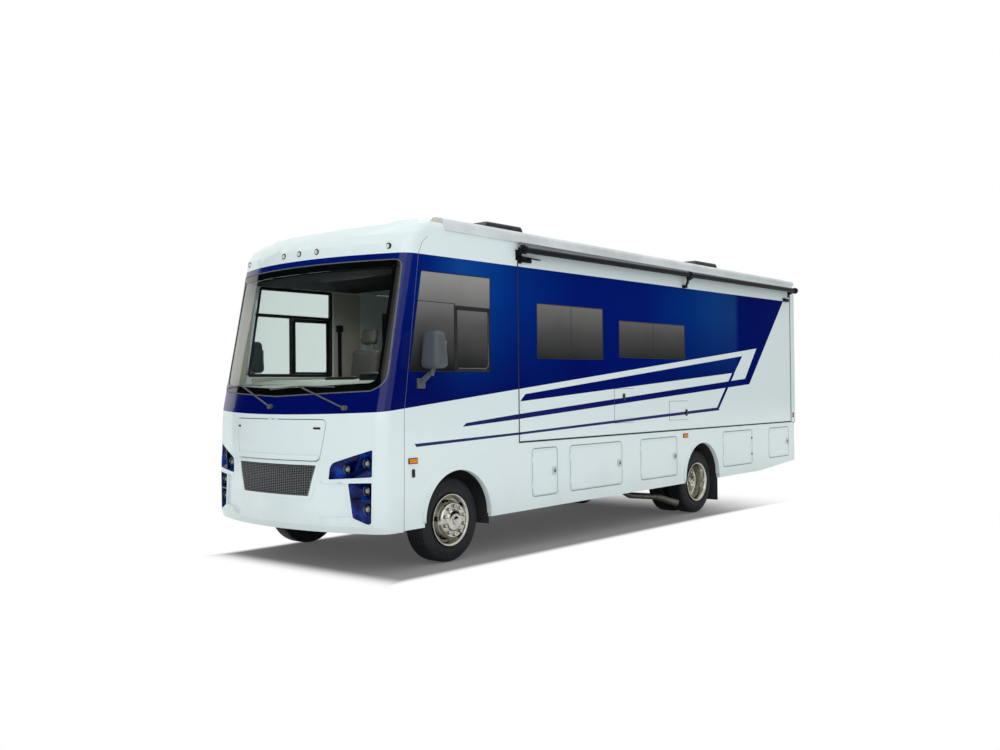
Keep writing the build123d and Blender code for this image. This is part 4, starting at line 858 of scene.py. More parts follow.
noseLook = {
    # (width, height, depth behind the skin) of the shallow scoop beside each lower pod
    "recess": [(0.60, 0.850, -0.004), (0.928, 0.858, 0.020), (0.965, 0.545, 0.020), (0.55, 0.530, -0.004)],
    # the pane's outline with its wide lower corners
    "screen": [(-1.180, 2.964), (1.180, 2.964), (1.220, 2.944), (1.233, 2.905), (1.246, 1.900), (1.238, 1.820),
               (1.200, 1.760), (1.120, 1.720), (0.0, 1.674), (-1.120, 1.720), (-1.200, 1.760), (-1.238, 1.820),
               (-1.246, 1.900), (-1.233, 2.905), (-1.220, 2.944)],
    "screenRound": 0.02,
    "borderWidth": 0.072,
    "sealGrow": 0.008, "sealWidth": 0.011,
    "slots": [(-0.640, 1.372, 0.05), (0.592, 1.368, 0.085)],  # width, height, length
    "slotHeight": 0.020,
    "ledge": [(-0.653, 1.078), (0.600, 1.078), (0.604, 1.107), (-0.657, 1.107)],
    "ledgeProud": 0.016, "ledgeShadowDrop": (0.001, 0.012),
}


def grown(outline, by):
    # the outline moved outwards all round, about its own middle
    cy = (max(y for y, z in outline) + min(y for y, z in outline)) / 2
    cz = (max(z for y, z in outline) + min(z for y, z in outline)) / 2
    half = max(y for y, z in outline) - cy
    tall = max(z for y, z in outline) - cz
    return [(cy + (y - cy) * (1 + by / half), cz + (z - cz) * (1 + by / tall)) for y, z in outline]


def innerFace(c, n):
    # the cap's inner face, above the dash
    skin = noseSurface(min(abs(c.y), 1.27), c.z)
    return c.z > 1.5 and abs(c.y) < 1.268 and c.x < skin - 0.008 and (n.x < 0.12 or n.y * c.y < 0)


def buildCap():
    cap = solidCopy("front_cap", "frontCap")
    with editing(cap, whole=True):
        bpy.ops.mesh.dissolve_limited(angle_limit=math.radians(0.3))
    for side in (1, -1):
        corners = [(noseSurface(y, z) - depth, side * y, z) for y, z, depth in noseLook["recess"]]
        cutter = extrudeAll(outlineFace("scoop", corners, facing=(1, 0, 0)), (0.2, 0, 0))
        useModifier(cap, "BOOLEAN", operation="DIFFERENCE", object=cutter, solver="EXACT")
        bpy.data.objects.remove(cutter)
    finishPiece(cap, bodyPaint, slot="gelcoat", smooth=18.0, replaces=("front_cap",))
    # the cap's inner face is lined
    cap.data.materials.append(innerLining)
    with editing(cap):
        pick(cap, innerFace)
        bpy.context.object.active_material_index = 1
        bpy.ops.object.material_slot_assign()
    useModifier(cap, "WEIGHTED_NORMAL", keep_sharp=True, weight=80)


def ledgeEdge(a, b):
    # the long outer edges of the hatch's ledge, at its top and foot
    proud = min(p.x - noseSurface(p.y, p.z) for p in (a, b)) > noseLook["ledgeProud"] - 0.001
    level = abs(a.y - b.y) > 0.001 and abs(a.z - b.z) < 0.004
    return proud and level and (a.z > 1.100 or a.z < 1.085)


def buildScreenTrim():
    look = noseLook
    pane, corner = look["screen"], look["screenRound"]
    border = nosePanel("screenBorder", pane, 0.0012, 0.008, corner, look["borderWidth"])
    finishPiece(border, blackGlaze, slot="windscreen_glass")
    seal = nosePanel("screenSeal", grown(pane, look["sealGrow"]), 0.004, 0.006, corner, look["sealWidth"])
    finishPiece(seal, sealGrey, slot="grey_plastic")
    slots = []
    for y, z, length in look["slots"]:
        low, high = z - look["slotHeight"] / 2, z + look["slotHeight"] / 2
        left, right = y - length / 2, y + length / 2
        outline = [(left, low), (right, low), (right, high), (left, high)]
        slots.append(nosePanel("slot", outline, 0.003, 0.006, 0.008))
    finishAll(slots, "hatchSlots", blackPlastic, "front_hatch", "black_plastic")
    ledge = nosePanel("hatchLedge", look["ledge"], look["ledgeProud"], look["ledgeProud"] + 0.001, 0.012)
    with editing(ledge, "EDGE"):
        pick(ledge, ledgeEdge, "edges")
        bpy.ops.mesh.bevel(offset=0.005, segments=3, affect="EDGES")
    finishPiece(ledge, bodyPaint, "front_hatch", "gelcoat")
    # painted shadow: a grey strip on the skin under the ledge
    wide = max(y for y, z in look["ledge"])
    top, foot = (min(z for y, z in look["ledge"]) - drop for drop in look["ledgeShadowDrop"])
    shade = nosePanel("ledgeShadowStrip", [(-wide, top), (wide, top), (wide, foot), (-wide, foot)], 0.003, 0.004)
    finishPiece(shade, sealGrey, "front_hatch", "grey_plastic")


grilleLook = {
    "outline": [(-0.600, 1.038), (0.600, 1.038), (0.498, 0.716), (-0.498, 0.716)],
    "pitchY": 0.030, "pitchZ": 0.0165,  # metres between the wires
    "crimp": 0.005,
    "wire": 0.0055,
    "set": -0.012,
    "surround": [(-0.640, 1.052), (0.640, 1.052), (0.548, 0.690), (-0.548, 0.690)],
}


def buildGrille():
    look = grilleLook
    outline = look["outline"]
    ys, zs = zip(*outline)
    width, height = max(ys) - min(ys), max(zs) - min(zs)
    middle = (max(zs) + min(zs)) / 2
    across, up = round(width / look["pitchY"]), round(height / look["pitchZ"])
    bpy.ops.mesh.primitive_grid_add(x_subdivisions=across, y_subdivisions=up, size=1, location=(0, 0, middle),
                                    rotation=(math.pi / 2, 0, math.pi / 2))
    bpy.context.object.scale = (width, height, 1)
    cloth = settle(bpy.context.object)
    cloth.name = "grilleWireCloth"
    with editing(cloth):
        # every second crossing is crimped forwards
        pick(cloth, lambda c: (round((c.y / width + 0.5) * across)
                               + round((c.z - middle) / height * up)) % 2, "verts")
        bpy.ops.transform.translate(value=(look["crimp"], 0, 0))
        for (y0, z0), (y1, z1) in ((outline[1], outline[2]), (outline[3], outline[0])):
            out = Vector((0, z0 - z1, y1 - y0)).normalized()
            out = out if out.y * y0 > 0 else -out
            bpy.ops.mesh.select_all(action="SELECT")
            bpy.ops.mesh.bisect(plane_co=(0, y0, z0), plane_no=out, clear_outer=True)
    layOnNose(cloth, look["set"])
    useModifier(cloth, "WIREFRAME", thickness=look["wire"])
    finishPiece(cloth, grilleWire, slot="grille_mesh", replaces=("grille",))
    # painted shade: a near-black sheet behind the wire cloth
    back = nosePanel("grilleShadeSheet", outline, look["set"] - 0.016, 0.004, 0.02)
    finishPiece(back, paintedShadeBlack, slot="black_plastic")
    frame = nosePanel("grilleFrame", outline, 0.001, 0.022, 0.03, 0.012)
    finishPiece(frame, grilleWire, slot="grille_mesh")
    surround = nosePanel("grilleSurround", look["surround"], 0.006, 0.008, 0.045, 0.034)
    finishPiece(surround, bodyPaint, slot="gelcoat")


podLook = {
    "upper": [(0.738, 0.884), (0.748, 1.010), (0.781, 1.056), (1.185, 1.182), (1.190, 0.915)],
    "lower": [(0.945, 0.864), (1.188, 0.874), (1.180, 0.490), (1.137, 0.476), (0.988, 0.536)],
    "upperRidge": [(1.045, 1.10), (0.985, 0.89)],
    "lowerRidge": [(0.96, 0.705), (1.19, 0.700)],
    "upperLamps": [(0.905, 0.985), (1.098, 1.042)],
    "lowerLamps": [(1.105, 0.790), (1.105, 0.618)],
    "round": 0.012,
    "set": 0.002, "depth": 0.085, "seat": 0.062, "seatRadius": 0.052,
    "rim": 0.007,
    "lipGrow": 0.009, "lipWidth": 0.0135, "lipRound": 0.026,
}


def buildPod(name, outline, ridge, lamps):
    look = podLook
    gap = 0.0015
    cy = sum(y for y, z in outline) / len(outline)
    cz = sum(z for y, z in outline) / len(outline)
    corners = []
    for y, z in outline:
        y, z = y + (gap if y < cy else -gap), z + (gap if z < cz else -gap)
        corners.append((noseSurface(y, z) - look["set"], y, z))
    pod = outlineFace(name, corners, look["round"], 4, facing=(1, 0, 0))
    extrudeAll(pod, (-look["depth"], 0, 0))
    (y0, z0), (y1, z1) = ridge
    cut = Vector((0, z1 - z0, y0 - y1)).normalized()
    onRidge = Vector((0, y0, z0))
    with editing(pod):
        pick(pod, lambda c, n: n.x > 0.4)
        bpy.ops.mesh.bisect(plane_co=onRidge, plane_no=cut)
    for y, z in lamps:
        side = (Vector((0, y, z)) - onRidge).dot(cut) > 0
        seat = Vector((noseSurface(y, z) - look["seat"], y, z))
        with editing(pod):
            pick(pod, lambda c, n: n.x > 0.4 and c.x > noseSurface(c.y, c.z) - 0.03
                 and ((Vector((0, c.y, c.z)) - onRidge).dot(cut) > 0) == side)
            bpy.ops.mesh.inset(thickness=look["rim"])
            bpy.ops.mesh.inset(thickness=0.002, depth=-0.003)
            bpy.ops.mesh.inset(thickness=0.004)
            mesh = bmesh.from_edit_mesh(pod.data)
            inner = [v for v in mesh.verts if v.select]
            middle = sum((v.co for v in inner), Vector()) / len(inner)
            reach = sum(math.hypot(v.co.y - middle.y, v.co.z - middle.z) for v in inner) / len(inner)
            shrink = look["seatRadius"] / reach
            bpy.ops.transform.resize(value=(shrink,) * 3, center_override=middle)
            bpy.ops.transform.translate(value=seat - middle)
            bpy.ops.mesh.inset(thickness=0.003, depth=-0.004)
    return pod


def buildLampParts():
    # the projector: a turned bezel and reflector, and a domed lens, both on the X axis
    bezel = [(0.0, 0.046), (0.030, 0.046), (0.033, 0.043), (0.030, 0.039), (0.014, 0.034), (0.008, 0.027),
             (0.007, 0.0)]
    lens = [(0.0, 0.026), (0.016, 0.026), (0.025, 0.021), (0.031, 0.012), (0.033, 0.0)]
    return turned("bezel", bezel, (0, 0, 0), 40), turned("lens", lens, (0, 0, 0), 32)


def buildPods():
    look = podLook
    ring, dome = buildLampParts()
    pods, rings, domes = [], [], []
    for side in (1, -1):
        for which in ("upper", "lower"):
            lamps = look[which + "Lamps"]
            pod = buildPod("pod", look[which], look[which + "Ridge"], lamps)
            if side < 0:
                mirror = mirrorPiece(pod, "pod")
                bpy.data.objects.remove(pod)
                pod = mirror
            pods.append(pod)
            for y, z in lamps:
                seat = (noseSurface(y, z) - look["seat"], side * y, z)
                rings.append(copyPiece(ring, "bezel", seat))
                domes.append(copyPiece(dome, "lens", seat))
    bpy.data.objects.remove(ring)
    bpy.data.objects.remove(dome)
    finishAll(pods, "podMouldings", podBlueWithPaintedHighlights, slot="pod_blue", smooth=18.0, replaces=("headlamp_pods",))
    lips = []
    for which in ("upper", "lower"):
        edge = grown(look[which], look["lipGrow"])
        lip = nosePanel("lip", edge, 0.004, 0.005, look["lipRound"], look["lipWidth"], 0.04)
        lips += [lip, mirrorPiece(lip, "lip")]
    finishAll(lips, "podLips", bodyPaint, slot="gelcoat", smooth=40.0)
    finishAll(rings, "lampBezels", darkChrome, slot="lamp_glass", replaces=("headlamps",))
    finishAll(domes, "lampLenses", lampGlass, slot="lamp_glass")


buildCap()
buildScreenTrim()
buildGrille()
buildPods()
print("stage: nose")


# wheels: tyres with ribs and grooves, polished liners over the rims
# the rolled edge that both liners share
linerLip = [(0.002, 0.2570), (-0.010, 0.2610), (-0.018, 0.2580), (-0.018, 0.250), (-0.012, 0.240),
            (0.002, 0.232)]
wheelLook = {
    "centreY": 1.076,  # middle of an outer tyre
    "dual": 0.292,  # from there to the inner rear tyre's middle
    "crown": 0.4208,
    "grooves": (-0.064, -0.022, 0.022, 0.064), "grooveWide": 0.0095, "grooveDeep": 0.011,
    # (distance from the middle, radius) from the bead to the tread's edge
    "flank": [(0.097, 0.2476), (0.108, 0.260), (0.1145, 0.276), (0.1165, 0.279), (0.1185, 0.286),
              (0.1215, 0.310), (0.1238, 0.313), (0.1240, 0.345), (0.1225, 0.349), (0.1190, 0.372),
              (0.1100, 0.397), (0.1010, 0.4095), (0.0930, 0.4165)],
    "shoulder": (0.094, 0.112), "slotsBeyond": 0.40,  # where the shoulders' slots lie, across and outwards
    "steps": 96, "linerSteps": 100,
    # (distance behind the rim's plane, radius) of the front liner and of the deep rear one
    "rimPlane": 1.186,
    "front": linerLip + [(0.030, 0.225), (0.044, 0.218), (0.048, 0.211), (0.042, 0.205), (0.012, 0.197),
                         (-0.018, 0.187), (-0.040, 0.177), (-0.050, 0.171), (-0.054, 0.166), (-0.054, 0.112),
                         (-0.060, 0.106), (-0.072, 0.098), (-0.078, 0.082), (-0.080, 0.062), (-0.080, 0.044),
                         (-0.088, 0.040), (-0.092, 0.026), (-0.093, 0.0)],
    "rear": linerLip + [(0.090, 0.217), (0.128, 0.212), (0.140, 0.200), (0.142, 0.150), (0.138, 0.140),
                        (0.138, 0.088), (0.120, 0.083), (0.070, 0.079), (0.052, 0.068), (0.046, 0.050),
                        (0.046, 0.034), (0.040, 0.031), (0.037, 0.020), (0.036, 0.0)],
    "lugs": 10, "lugCircle": 0.141,
    "frontLugSeat": 0.053, "rearLugSeat": -0.139,  # outwards from the rim's plane
    "lug": [(0.0, 0.0200), (0.010, 0.0190), (0.016, 0.0165), (0.028, 0.0155), (0.034, 0.011), (0.036, 0.0)],
    "handHoles": 5, "holeBand": (0.186, 0.202), "holeSteps": 4,
    "drum": [(0.075, 0.0), (0.075, 0.205), (0.205, 0.205), (0.205, 0.0)],
}


def angleIndex(c, x, z, count):
    return int((math.atan2(c.z - z, c.x - x) % math.tau) / math.tau * count)


def buildTyre(name, centreY, x, z, side):
    look = wheelLook
    flank = [(centreY + off, radius) for off, radius in look["flank"]]
    profile = [(2 * centreY - y, radius) for y, radius in flank]
    wide, deep = look["grooveWide"] / 2, look["grooveDeep"]
    for spot in look["grooves"]:
        for off, depth in ((-wide, 0), (-wide * 0.7, deep), (wide * 0.7, deep), (wide, 0)):
            profile.append((centreY + spot + off, look["crown"] - depth))
    profile += reversed(flank)
    tyre = wheelRing(name, profile, x, z, side, look["steps"])
    # slots across both shoulders
    with editing(tyre):
        inner, outer = look["shoulder"]
        pick(tyre, lambda c, n: inner < abs(abs(c.y) - centreY) < outer
             and math.hypot(c.x - x, c.z - z) > look["slotsBeyond"] and angleIndex(c, x, z, look["steps"]) % 2)
        bpy.ops.mesh.inset(thickness=0.004, depth=-0.006, use_individual=True)
    return tyre


def buildLiner(name, profile, x, z, side, holes):
    look = wheelLook
    steps = look["linerSteps"]
    profile = [(look["rimPlane"] - back, radius) for back, radius in profile]
    liner = wheelRing(name, profile, x, z, side, steps)
    liner.data.materials.append(rimSteel)
    liner.data.materials.append(paintedShadeBlack)
    if holes:
        low, high = look["holeBand"]
        every = steps // look["handHoles"]
        # the hand holes: sunk 12 mm and coloured with painted shade
        with editing(liner):
            pick(liner, lambda c, n: low < math.hypot(c.x - x, c.z - z) < high
                 and angleIndex(c, x, z, steps) % every < look["holeSteps"])
            bpy.ops.mesh.inset(thickness=0.003)
            bpy.ops.transform.translate(value=(0, -side * 0.012, 0))
            bpy.context.object.active_material_index = 1
            bpy.ops.object.material_slot_assign()
    return liner


def buildLugs(name, seatY, x, z, side):
    look = wheelLook
    lug = spinProfile("lug", [(0, side * out, radius) for out, radius in look["lug"]], (0, 0, 0), 16)
    lugs = []
    for number in range(look["lugs"]):
        turn = math.tau * (number + 0.5) / look["lugs"]
        lugs.append(copyPiece(lug, "lug", (x + look["lugCircle"] * math.cos(turn), side * seatY,
                                           z + look["lugCircle"] * math.sin(turn))))
    bpy.data.objects.remove(lug)
    whole = joinPieces(lugs, name)
    whole.data.materials.append(rimSteel)
    return whole


def buildWheels():
    look = wheelLook
    z = coach["tyreRadius"]
    for side, word in ((1, "Left"), (-1, "Right")):
        lower = word.lower()
        body = "wheel_front_" + lower
        x = coach["frontAxle"]
        tyre = buildTyre("frontTyre" + word, look["centreY"], x, z, side)
        finishPiece(tyre, tyreRubber, body, "tyre_rubber", replaces=("front_tyre_" + lower,))
        liner = buildLiner("frontLiner" + word, look["front"], x, z, side, True)
        lugs = buildLugs("frontLugs", look["rimPlane"] + look["frontLugSeat"], x, z, side)
        rim = joinPieces([liner, lugs], "frontWheel" + word)
        finishPiece(rim, None, body, "rim_chrome", smooth=30.0, replaces=("front_rim_" + lower,))
        drum = [(look["rimPlane"] - back, radius) for back, radius in look["drum"]]
        drum = wheelRing("frontDrum" + word, drum, x, z, side, 48)
        finishPiece(drum, castIron, body, "cast_steel")
        body = "wheels_rear_" + lower
        x = coach["rearAxle"]
        outer = buildTyre("outerTyre", look["centreY"], x, z, side)
        inner = buildTyre("innerTyre", look["centreY"] - look["dual"], x, z, side)
        finishAll([outer, inner], "rearTyres" + word, tyreRubber, body, "tyre_rubber",
                    replaces=("rear_tyres_" + lower,))
        liner = buildLiner("rearLiner", look["rear"], x, z, side, False)
        lugs = buildLugs("rearLugs", look["rimPlane"] + look["rearLugSeat"], x, z, side)
        # the inner wheel's dish faces inwards
        far = 2 * look["centreY"] - look["dual"]
        dish = [(far - look["rimPlane"] + back, radius) for back, radius in look["rear"][:10]]
        innerRim = wheelRing("innerLiner", dish, x, z, side, 72)
        innerRim.data.materials.append(rimSteel)
        finishAll([liner, lugs, innerRim], "rearWheels" + word, None, body, "rim_chrome", smooth=30.0,
                    replaces=("rear_rims_" + lower,))


buildWheels()
print("stage: wheels")


# the sides: seams, arch lips, window frames, lockers and hatches
sideLook = {
    "skin": 1.2805, "proud": 1.2835,  # outer faces' distances from the middle
    "capSeam": [(0.730, 0.400), (0.711, 1.535), (0.507, 3.028), (0.455, 3.147), (0.380, 3.210)],
    "seamWide": 0.005,
    "slide": (ahead(-0.995), -4.365, 1.150, 3.195),  # front, rear, low, high
    "belts": [(-1, ahead(-1.97), 1.128, 1.136), (1, -4.39, 1.132, 1.138)],  # side, front, low, high
    "beltRear": -4.50,
    # wheel arches: x, z, radius, and the well's room round the wheel, wider in front for full lock
    "arches": [(ahead(-0.035), 0.443, 0.485, 0.110), (-1.542, 0.500, 0.460, 0.010)],
    "archLip": [(0.006, 1.2935), (-0.004, 1.2935), (-0.007, 1.287), (-0.007, 1.236)],
    "cabFace": 1.2775,
    "cabWindow": [(0.471, 2.875), (-0.547, 2.875), (-0.536, 1.896), (0.645, 1.896)],
    # the upper pane's lower edge, and the bar over the slider
    "cabBars": [[(0.555, 2.583), (0.0, 2.577), (0.0, 2.572), (0.555, 2.578)],
                [(0.0, 2.560), (-0.545, 2.553), (-0.545, 2.538), (0.0, 2.545)]],
    "cabPost": (ahead(0.008), ahead(-0.002), 1.90, 2.58),
    "slider": (ahead(-0.004), ahead(-0.532), 1.902, 2.550),
    "sliderTrim": (ahead(-0.010), ahead(-0.508), 1.930, 2.545),
    # openings: front and rear ahead of the front axle, low and high
    "slideWindows": [(-1.315, -2.590, 2.048, 2.658), (-2.925, -4.500, 2.080, 2.536)],
    "rightWindows": [(-2.950, -4.000, 2.060, 2.660), (-4.500, -4.900, 2.350, 2.700),
                     (-5.689, -6.915, 2.060, 2.560)],
    "postedFrom": 0.6,  # a right window longer than this has a post
    "leftLockers": [(-1.209, -1.667, 0.548, 1.068), (-1.900, -2.964, 0.552, 1.066),
                    (-3.380, -4.262, 0.562, 1.068), (-5.5165, -6.4122, 0.583, 1.074),
                    (-6.9596, -7.6562, 0.625, 1.074)],
    "rightLockers": [(-2.330, -3.230, 0.552, 1.066), (-3.400, -4.262, 0.562, 1.068),
                     (-5.7156, -6.8103, 0.600, 1.074)],
    "hinged": ("left", 4),  # the one door that shows hinges and has no latch
    "pressed": 1.2850,  # outer face of the line pressed round a door
    "latchFace": 1.280, "latchIn": 0.068,
    "latchDish": [(0.012, 0.023), (0.015, 0.022), (0.015, 0.018), (0.012, 0.016), (0.011, 0.0)],
    # service hatches on the slide-out: front, rear, low, high, latch x, latch z
    "hatches": [(ahead(-2.81), ahead(-3.24), 1.293, 1.702, ahead(-3.008), 1.603),
                (ahead(-4.08), ahead(-4.553), 1.287, 1.529, ahead(-4.503), 1.375)],
    "louvres": 3, "louvrePitch": 0.018, "louvreLow": 0.035,
}


def fromAxle(corners):
    return [(ahead(x), z) for x, z in corners]


def spans(key):
    # front, rear, low and high of each opening
    return [(ahead(front), ahead(rear), low, high) for front, rear, low, high in sideLook[key]]


def buildSeams():
    look = sideLook
    strips = []
    for side in (1, -1):
        for (x0, z0), (x1, z1) in zip(fromAxle(look["capSeam"]), fromAxle(look["capSeam"][1:])):
            strip = [(x0, z0), (x1, z1), (x1 - look["seamWide"], z1), (x0 - look["seamWide"], z0)]
            strips.append(wallPanel("seam", strip, look["skin"], side, 0.002))
    finishAll(strips, "capSeams", sealGrey, slot="grey_plastic", smooth=0)
    front, rear, low, high = look["slide"]
    proud = look["proud"]
    ring = oblong(front + 0.011, rear - 0.011, low - 0.009, high + 0.009)
    ring = wallPanel("slideSeal", ring, 1.283, 1, 0.002, 0.012, 0.017)
    finishPiece(ring, rubberSeal, "slideout", "black_plastic", smooth=0)
    flange = wallPanel("slideFlange", oblong(front - 0.014, front - 0.040, low + 0.01, high - 0.01), proud)
    sill = oblong(front - 0.010, rear + 0.010, low + 0.012, low + 0.022)
    sill = wallPanel("slideSill", sill, 1.282, 1, 0.003)
    finishAll([flange, sill], "slideFlanges", bodyPaint, "slideout", "gelcoat", smooth=0)
    jamb = wallPanel("slideJamb", oblong(front + 0.042, front + 0.012, low, high), proud)
    finishPiece(jamb, bodyPaint, slot="gelcoat", smooth=0)
    belts = [wallPanel("belt", oblong(start, look["beltRear"], foot, top), proud, side)
             for side, start, foot, top in look["belts"]]
    finishAll(belts, "beltMouldings", greyPlastic, slot="grey_plastic", smooth=0)
    trimX = (coach["rearFace"], coach["rearFace"] + 0.035)
    corners = [sideBox("corner", side, trimX, (1.274, 1.2845), (1.14, 3.22), 0.003) for side in (1, -1)]
    finishAll(corners, "rearCornerTrims", bodyPaint, slot="gelcoat")


def buildArchLips():
    lips, wells = [], []
    for x, z, radius, room in sideLook["arches"]:
        edge = x + radius
        lip = [(edge + out, y, z) for out, y in sideLook["archLip"]]
        lip = spinProfile("lip", lip, (x, 0, z), 48, angle=math.pi)
        useModifier(lip, "SOLIDIFY", thickness=0.003, offset=0)
        lips += [lip, mirrorPiece(lip, "lip")]
        well = [(edge + 0.012, 1.230, z), (edge + room, 1.205, z), (edge + room, 0.62, z)]
        well = spinProfile("well", well, (x, 0, z), 36, angle=math.pi)
        wells += [well, mirrorPiece(well, "well")]
    finishAll(lips, "archLips", bodyPaint, slot="gelcoat")
    finishAll(wells, "wheelWells", flapRubber, slot="flap_rubber")


def buildWindowFrames():
    look = sideLook
    face = look["cabFace"]
    frames, trims, slideFrames = [], [], []
    for side in (1, -1):
        frames.append(wallPanel("cabFrame", fromAxle(look["cabWindow"]), face, side, 0.004, 0.018, 0.009))
        for corners in look["cabBars"]:
            frames.append(wallPanel("cabBar", fromAxle(corners), face, side))
        frames.append(wallPanel("cabPost", oblong(*look["cabPost"]), face, side))
        frames.append(wallPanel("slider", oblong(*look["slider"]), face - 0.0005, side, 0.004, 0.02, 0.036))
        trim = wallPanel("sliderTrim", oblong(*look["sliderTrim"]), face + 0.001, side, 0.004, 0.05, 0.007)
        with editing(trim):
            # only the foot and the rear upright are bright
            pick(trim, lambda c, n: c.z > 2.490 or c.x > ahead(-0.045))
            bpy.ops.mesh.delete(type="FACE")
        trims.append(trim)
    for front, rear, low, high in spans("slideWindows"):
        middle = (front + rear) / 2
        ring = wallPanel("slideFrame", oblong(front, rear, low, high), look["skin"], 1, 0.005, 0.018, 0.008)
        post = wallPanel("slidePost", oblong(middle + 0.003, middle - 0.003, low, high), face, 1, 0.003)
        slideFrames += [ring, post]
    for front, rear, low, high in spans("rightWindows"):
        frames.append(wallPanel("frame", oblong(front, rear, low, high), look["skin"], -1, 0.005, 0.018, 0.012))
        if front - rear > look["postedFrom"]:
            middle = (front + rear) / 2
            post = oblong(middle + 0.012, middle - 0.012, low, high)
            frames.append(wallPanel("post", post, face + 0.001, -1))
    finishAll(frames, "windowFrames", blackPlastic, slot="black_plastic")
    finishAll(trims, "sliderTrims", ladderAlloy, slot="ladder_aluminium")
    finishAll(slideFrames, "slideoutFrames", blackPlastic, "slideout", "black_plastic")


def buildLatch(x, z, side):
    # a square cover plate, and a dished ring with its paddle
    face = sideLook["latchFace"]
    plate = spotBox("plate", side, x, z, 0.036, 0.041, (face, face + 0.013), 0.012, 4)
    dish = [(x, side * (face + out), z + radius) for out, radius in sideLook["latchDish"]]
    ring = spinProfile("ring", dish, (x, 0, z), 28)
    spanY = (face + 0.009, face + 0.017)
    paddle = sideBox("paddle", side, (x - 0.008, x + 0.008), spanY, (z - 0.015, z + 0.012), 0.002)
    return plate, joinPieces([ring, paddle], "paddle")


def buildLocker(name, body, side, door, hinged):
    front, rear, low, high = door
    pressed = sideLook["pressed"]
    # a pressed line round the door, and the pale gasket in its gap
    line = wallPanel(name + "Frame", oblong(*door, grow=-0.016), pressed, side, 0.006, 0.042, 0.013)
    with editing(line, "EDGE"):
        pick(line, lambda a, b: all(abs(abs(end.y) - pressed) < 0.0004 for end in (a, b)), "edges")
        bpy.ops.mesh.bevel(offset=0.0045, segments=3, affect="EDGES")
    if not hinged:
        plate, paddle = buildLatch(rear + sideLook["latchIn"], (low + high) / 2, side)
        finishPiece(plate, latchWhite, body, "gelcoat", smooth=60.0)
        finishPiece(paddle, sealGrey, body, "grey_plastic")
    finishPiece(line, bodyPaint, body, "gelcoat", smooth=60.0)
    gasket = wallPanel(name + "Gasket", oblong(*door, grow=-0.001), 1.2812, side, 0.003, 0.046, 0.007)
    finishPiece(gasket, paleGasket, body, "grey_plastic", smooth=0)
    if hinged:
        hinges = [sideBox("hinge", side, (rear + 0.004, rear + 0.034), (1.279, 1.289), (z - 0.016, z + 0.016))
                  for z in (low + 0.14, high - 0.12)]
        finishPiece(joinPieces(hinges, name + "Hinges"), sealGrey, body, "grey_plastic")


def buildLockers():
    for side, word in ((1, "left"), (-1, "right")):
        for number, door in enumerate(spans(word + "Lockers"), 1):
            buildLocker(word + "Locker" + str(number), "locker_{}_{}".format(word, number), side, door,
                        (word, number) == sideLook["hinged"])


def buildHatches():
    look = sideLook
    doors, lines, fittings = [], [], []
    for front, rear, low, high, x, z in look["hatches"]:
        doors.append(wallPanel("hatch", oblong(front, rear, low, high), 1.285, 1, 0.005, 0.012))
        gap = oblong(front, rear, low, high, 0.004)
        lines.append(wallPanel("hatchLine", gap, 1.2816, 1, 0.002, 0.014, 0.005))
        for row in range(look["louvres"]):
            foot = low + look["louvreLow"] + row * look["louvrePitch"]
            ends, rise = (rear + 0.06, front - 0.06), (foot, foot + 0.008)
            doors.append(sideBox("louvre", 1, ends, (1.283, 1.289), rise, 0.002))
        fittings.append(spotBox("hatchLatch", 1, x, z, 0.024, 0.042, (1.284, 1.296), 0.008))
    finishAll(doors, "serviceHatches", bodyPaint, "slideout", "gelcoat")
    finishAll(lines, "hatchSeams", sealGrey, "slideout", "grey_plastic", smooth=0)
    finishAll(fittings, "hatchLatches", blackPlastic, "slideout", "grey_plastic")


buildSeams()
buildArchLips()
buildWindowFrames()
buildLockers()
buildHatches()
print("stage: sides")


# lamps and mirrors
fittingLook = {
    "browLamps": [(0.0, 3.100), (0.258, 3.100), (-0.258, 3.100), (1.090, 3.100), (-1.090, 3.100)],
    # (distance ahead of the skin, radius)
    "browBezel": [(-0.012, 0.031), (0.003, 0.031), (0.006, 0.027), (0.006, 0.021), (0.002, 0.020)],
    "browDome": [(0.003, 0.021), (0.010, 0.019), (0.015, 0.012), (0.016, 0.0)],
    "sideLamps": [(ahead(0.603), 1.049), (ahead(-4.483), 1.070)],
    "smallLamp": ((ahead(0.581), ahead(0.619)), (1.279, 1.291), (0.892, 0.970)),
    "mirror": (ahead(0.446), 1.424, 2.103),
    "mirrorSize": (0.185, 0.250, 0.362),
    "mirrorTaper": (0.84, 0.80, 1), "taperFrom": 0.08,
    "mirrorFoot": ((ahead(0.442), 1.279, 1.735), (ahead(0.548), 1.303, 1.835)),
    # name, start, end and radius
    "mirrorArms": [("arm", (ahead(0.50), 1.29, 1.775), (ahead(0.480), 1.395, 1.865), 0.018),
                   ("arm", (ahead(0.51), 1.29, 1.810), (ahead(0.482), 1.395, 1.885), 0.013),
                   ("knuckle", (ahead(0.470), 1.405, 1.858), (ahead(0.455), 1.425, 1.950), 0.024)],
    # the glass from the mirror's centre: half its width, and how far it goes down and up
    "glass": (0.072, 0.125, 0.085),
}


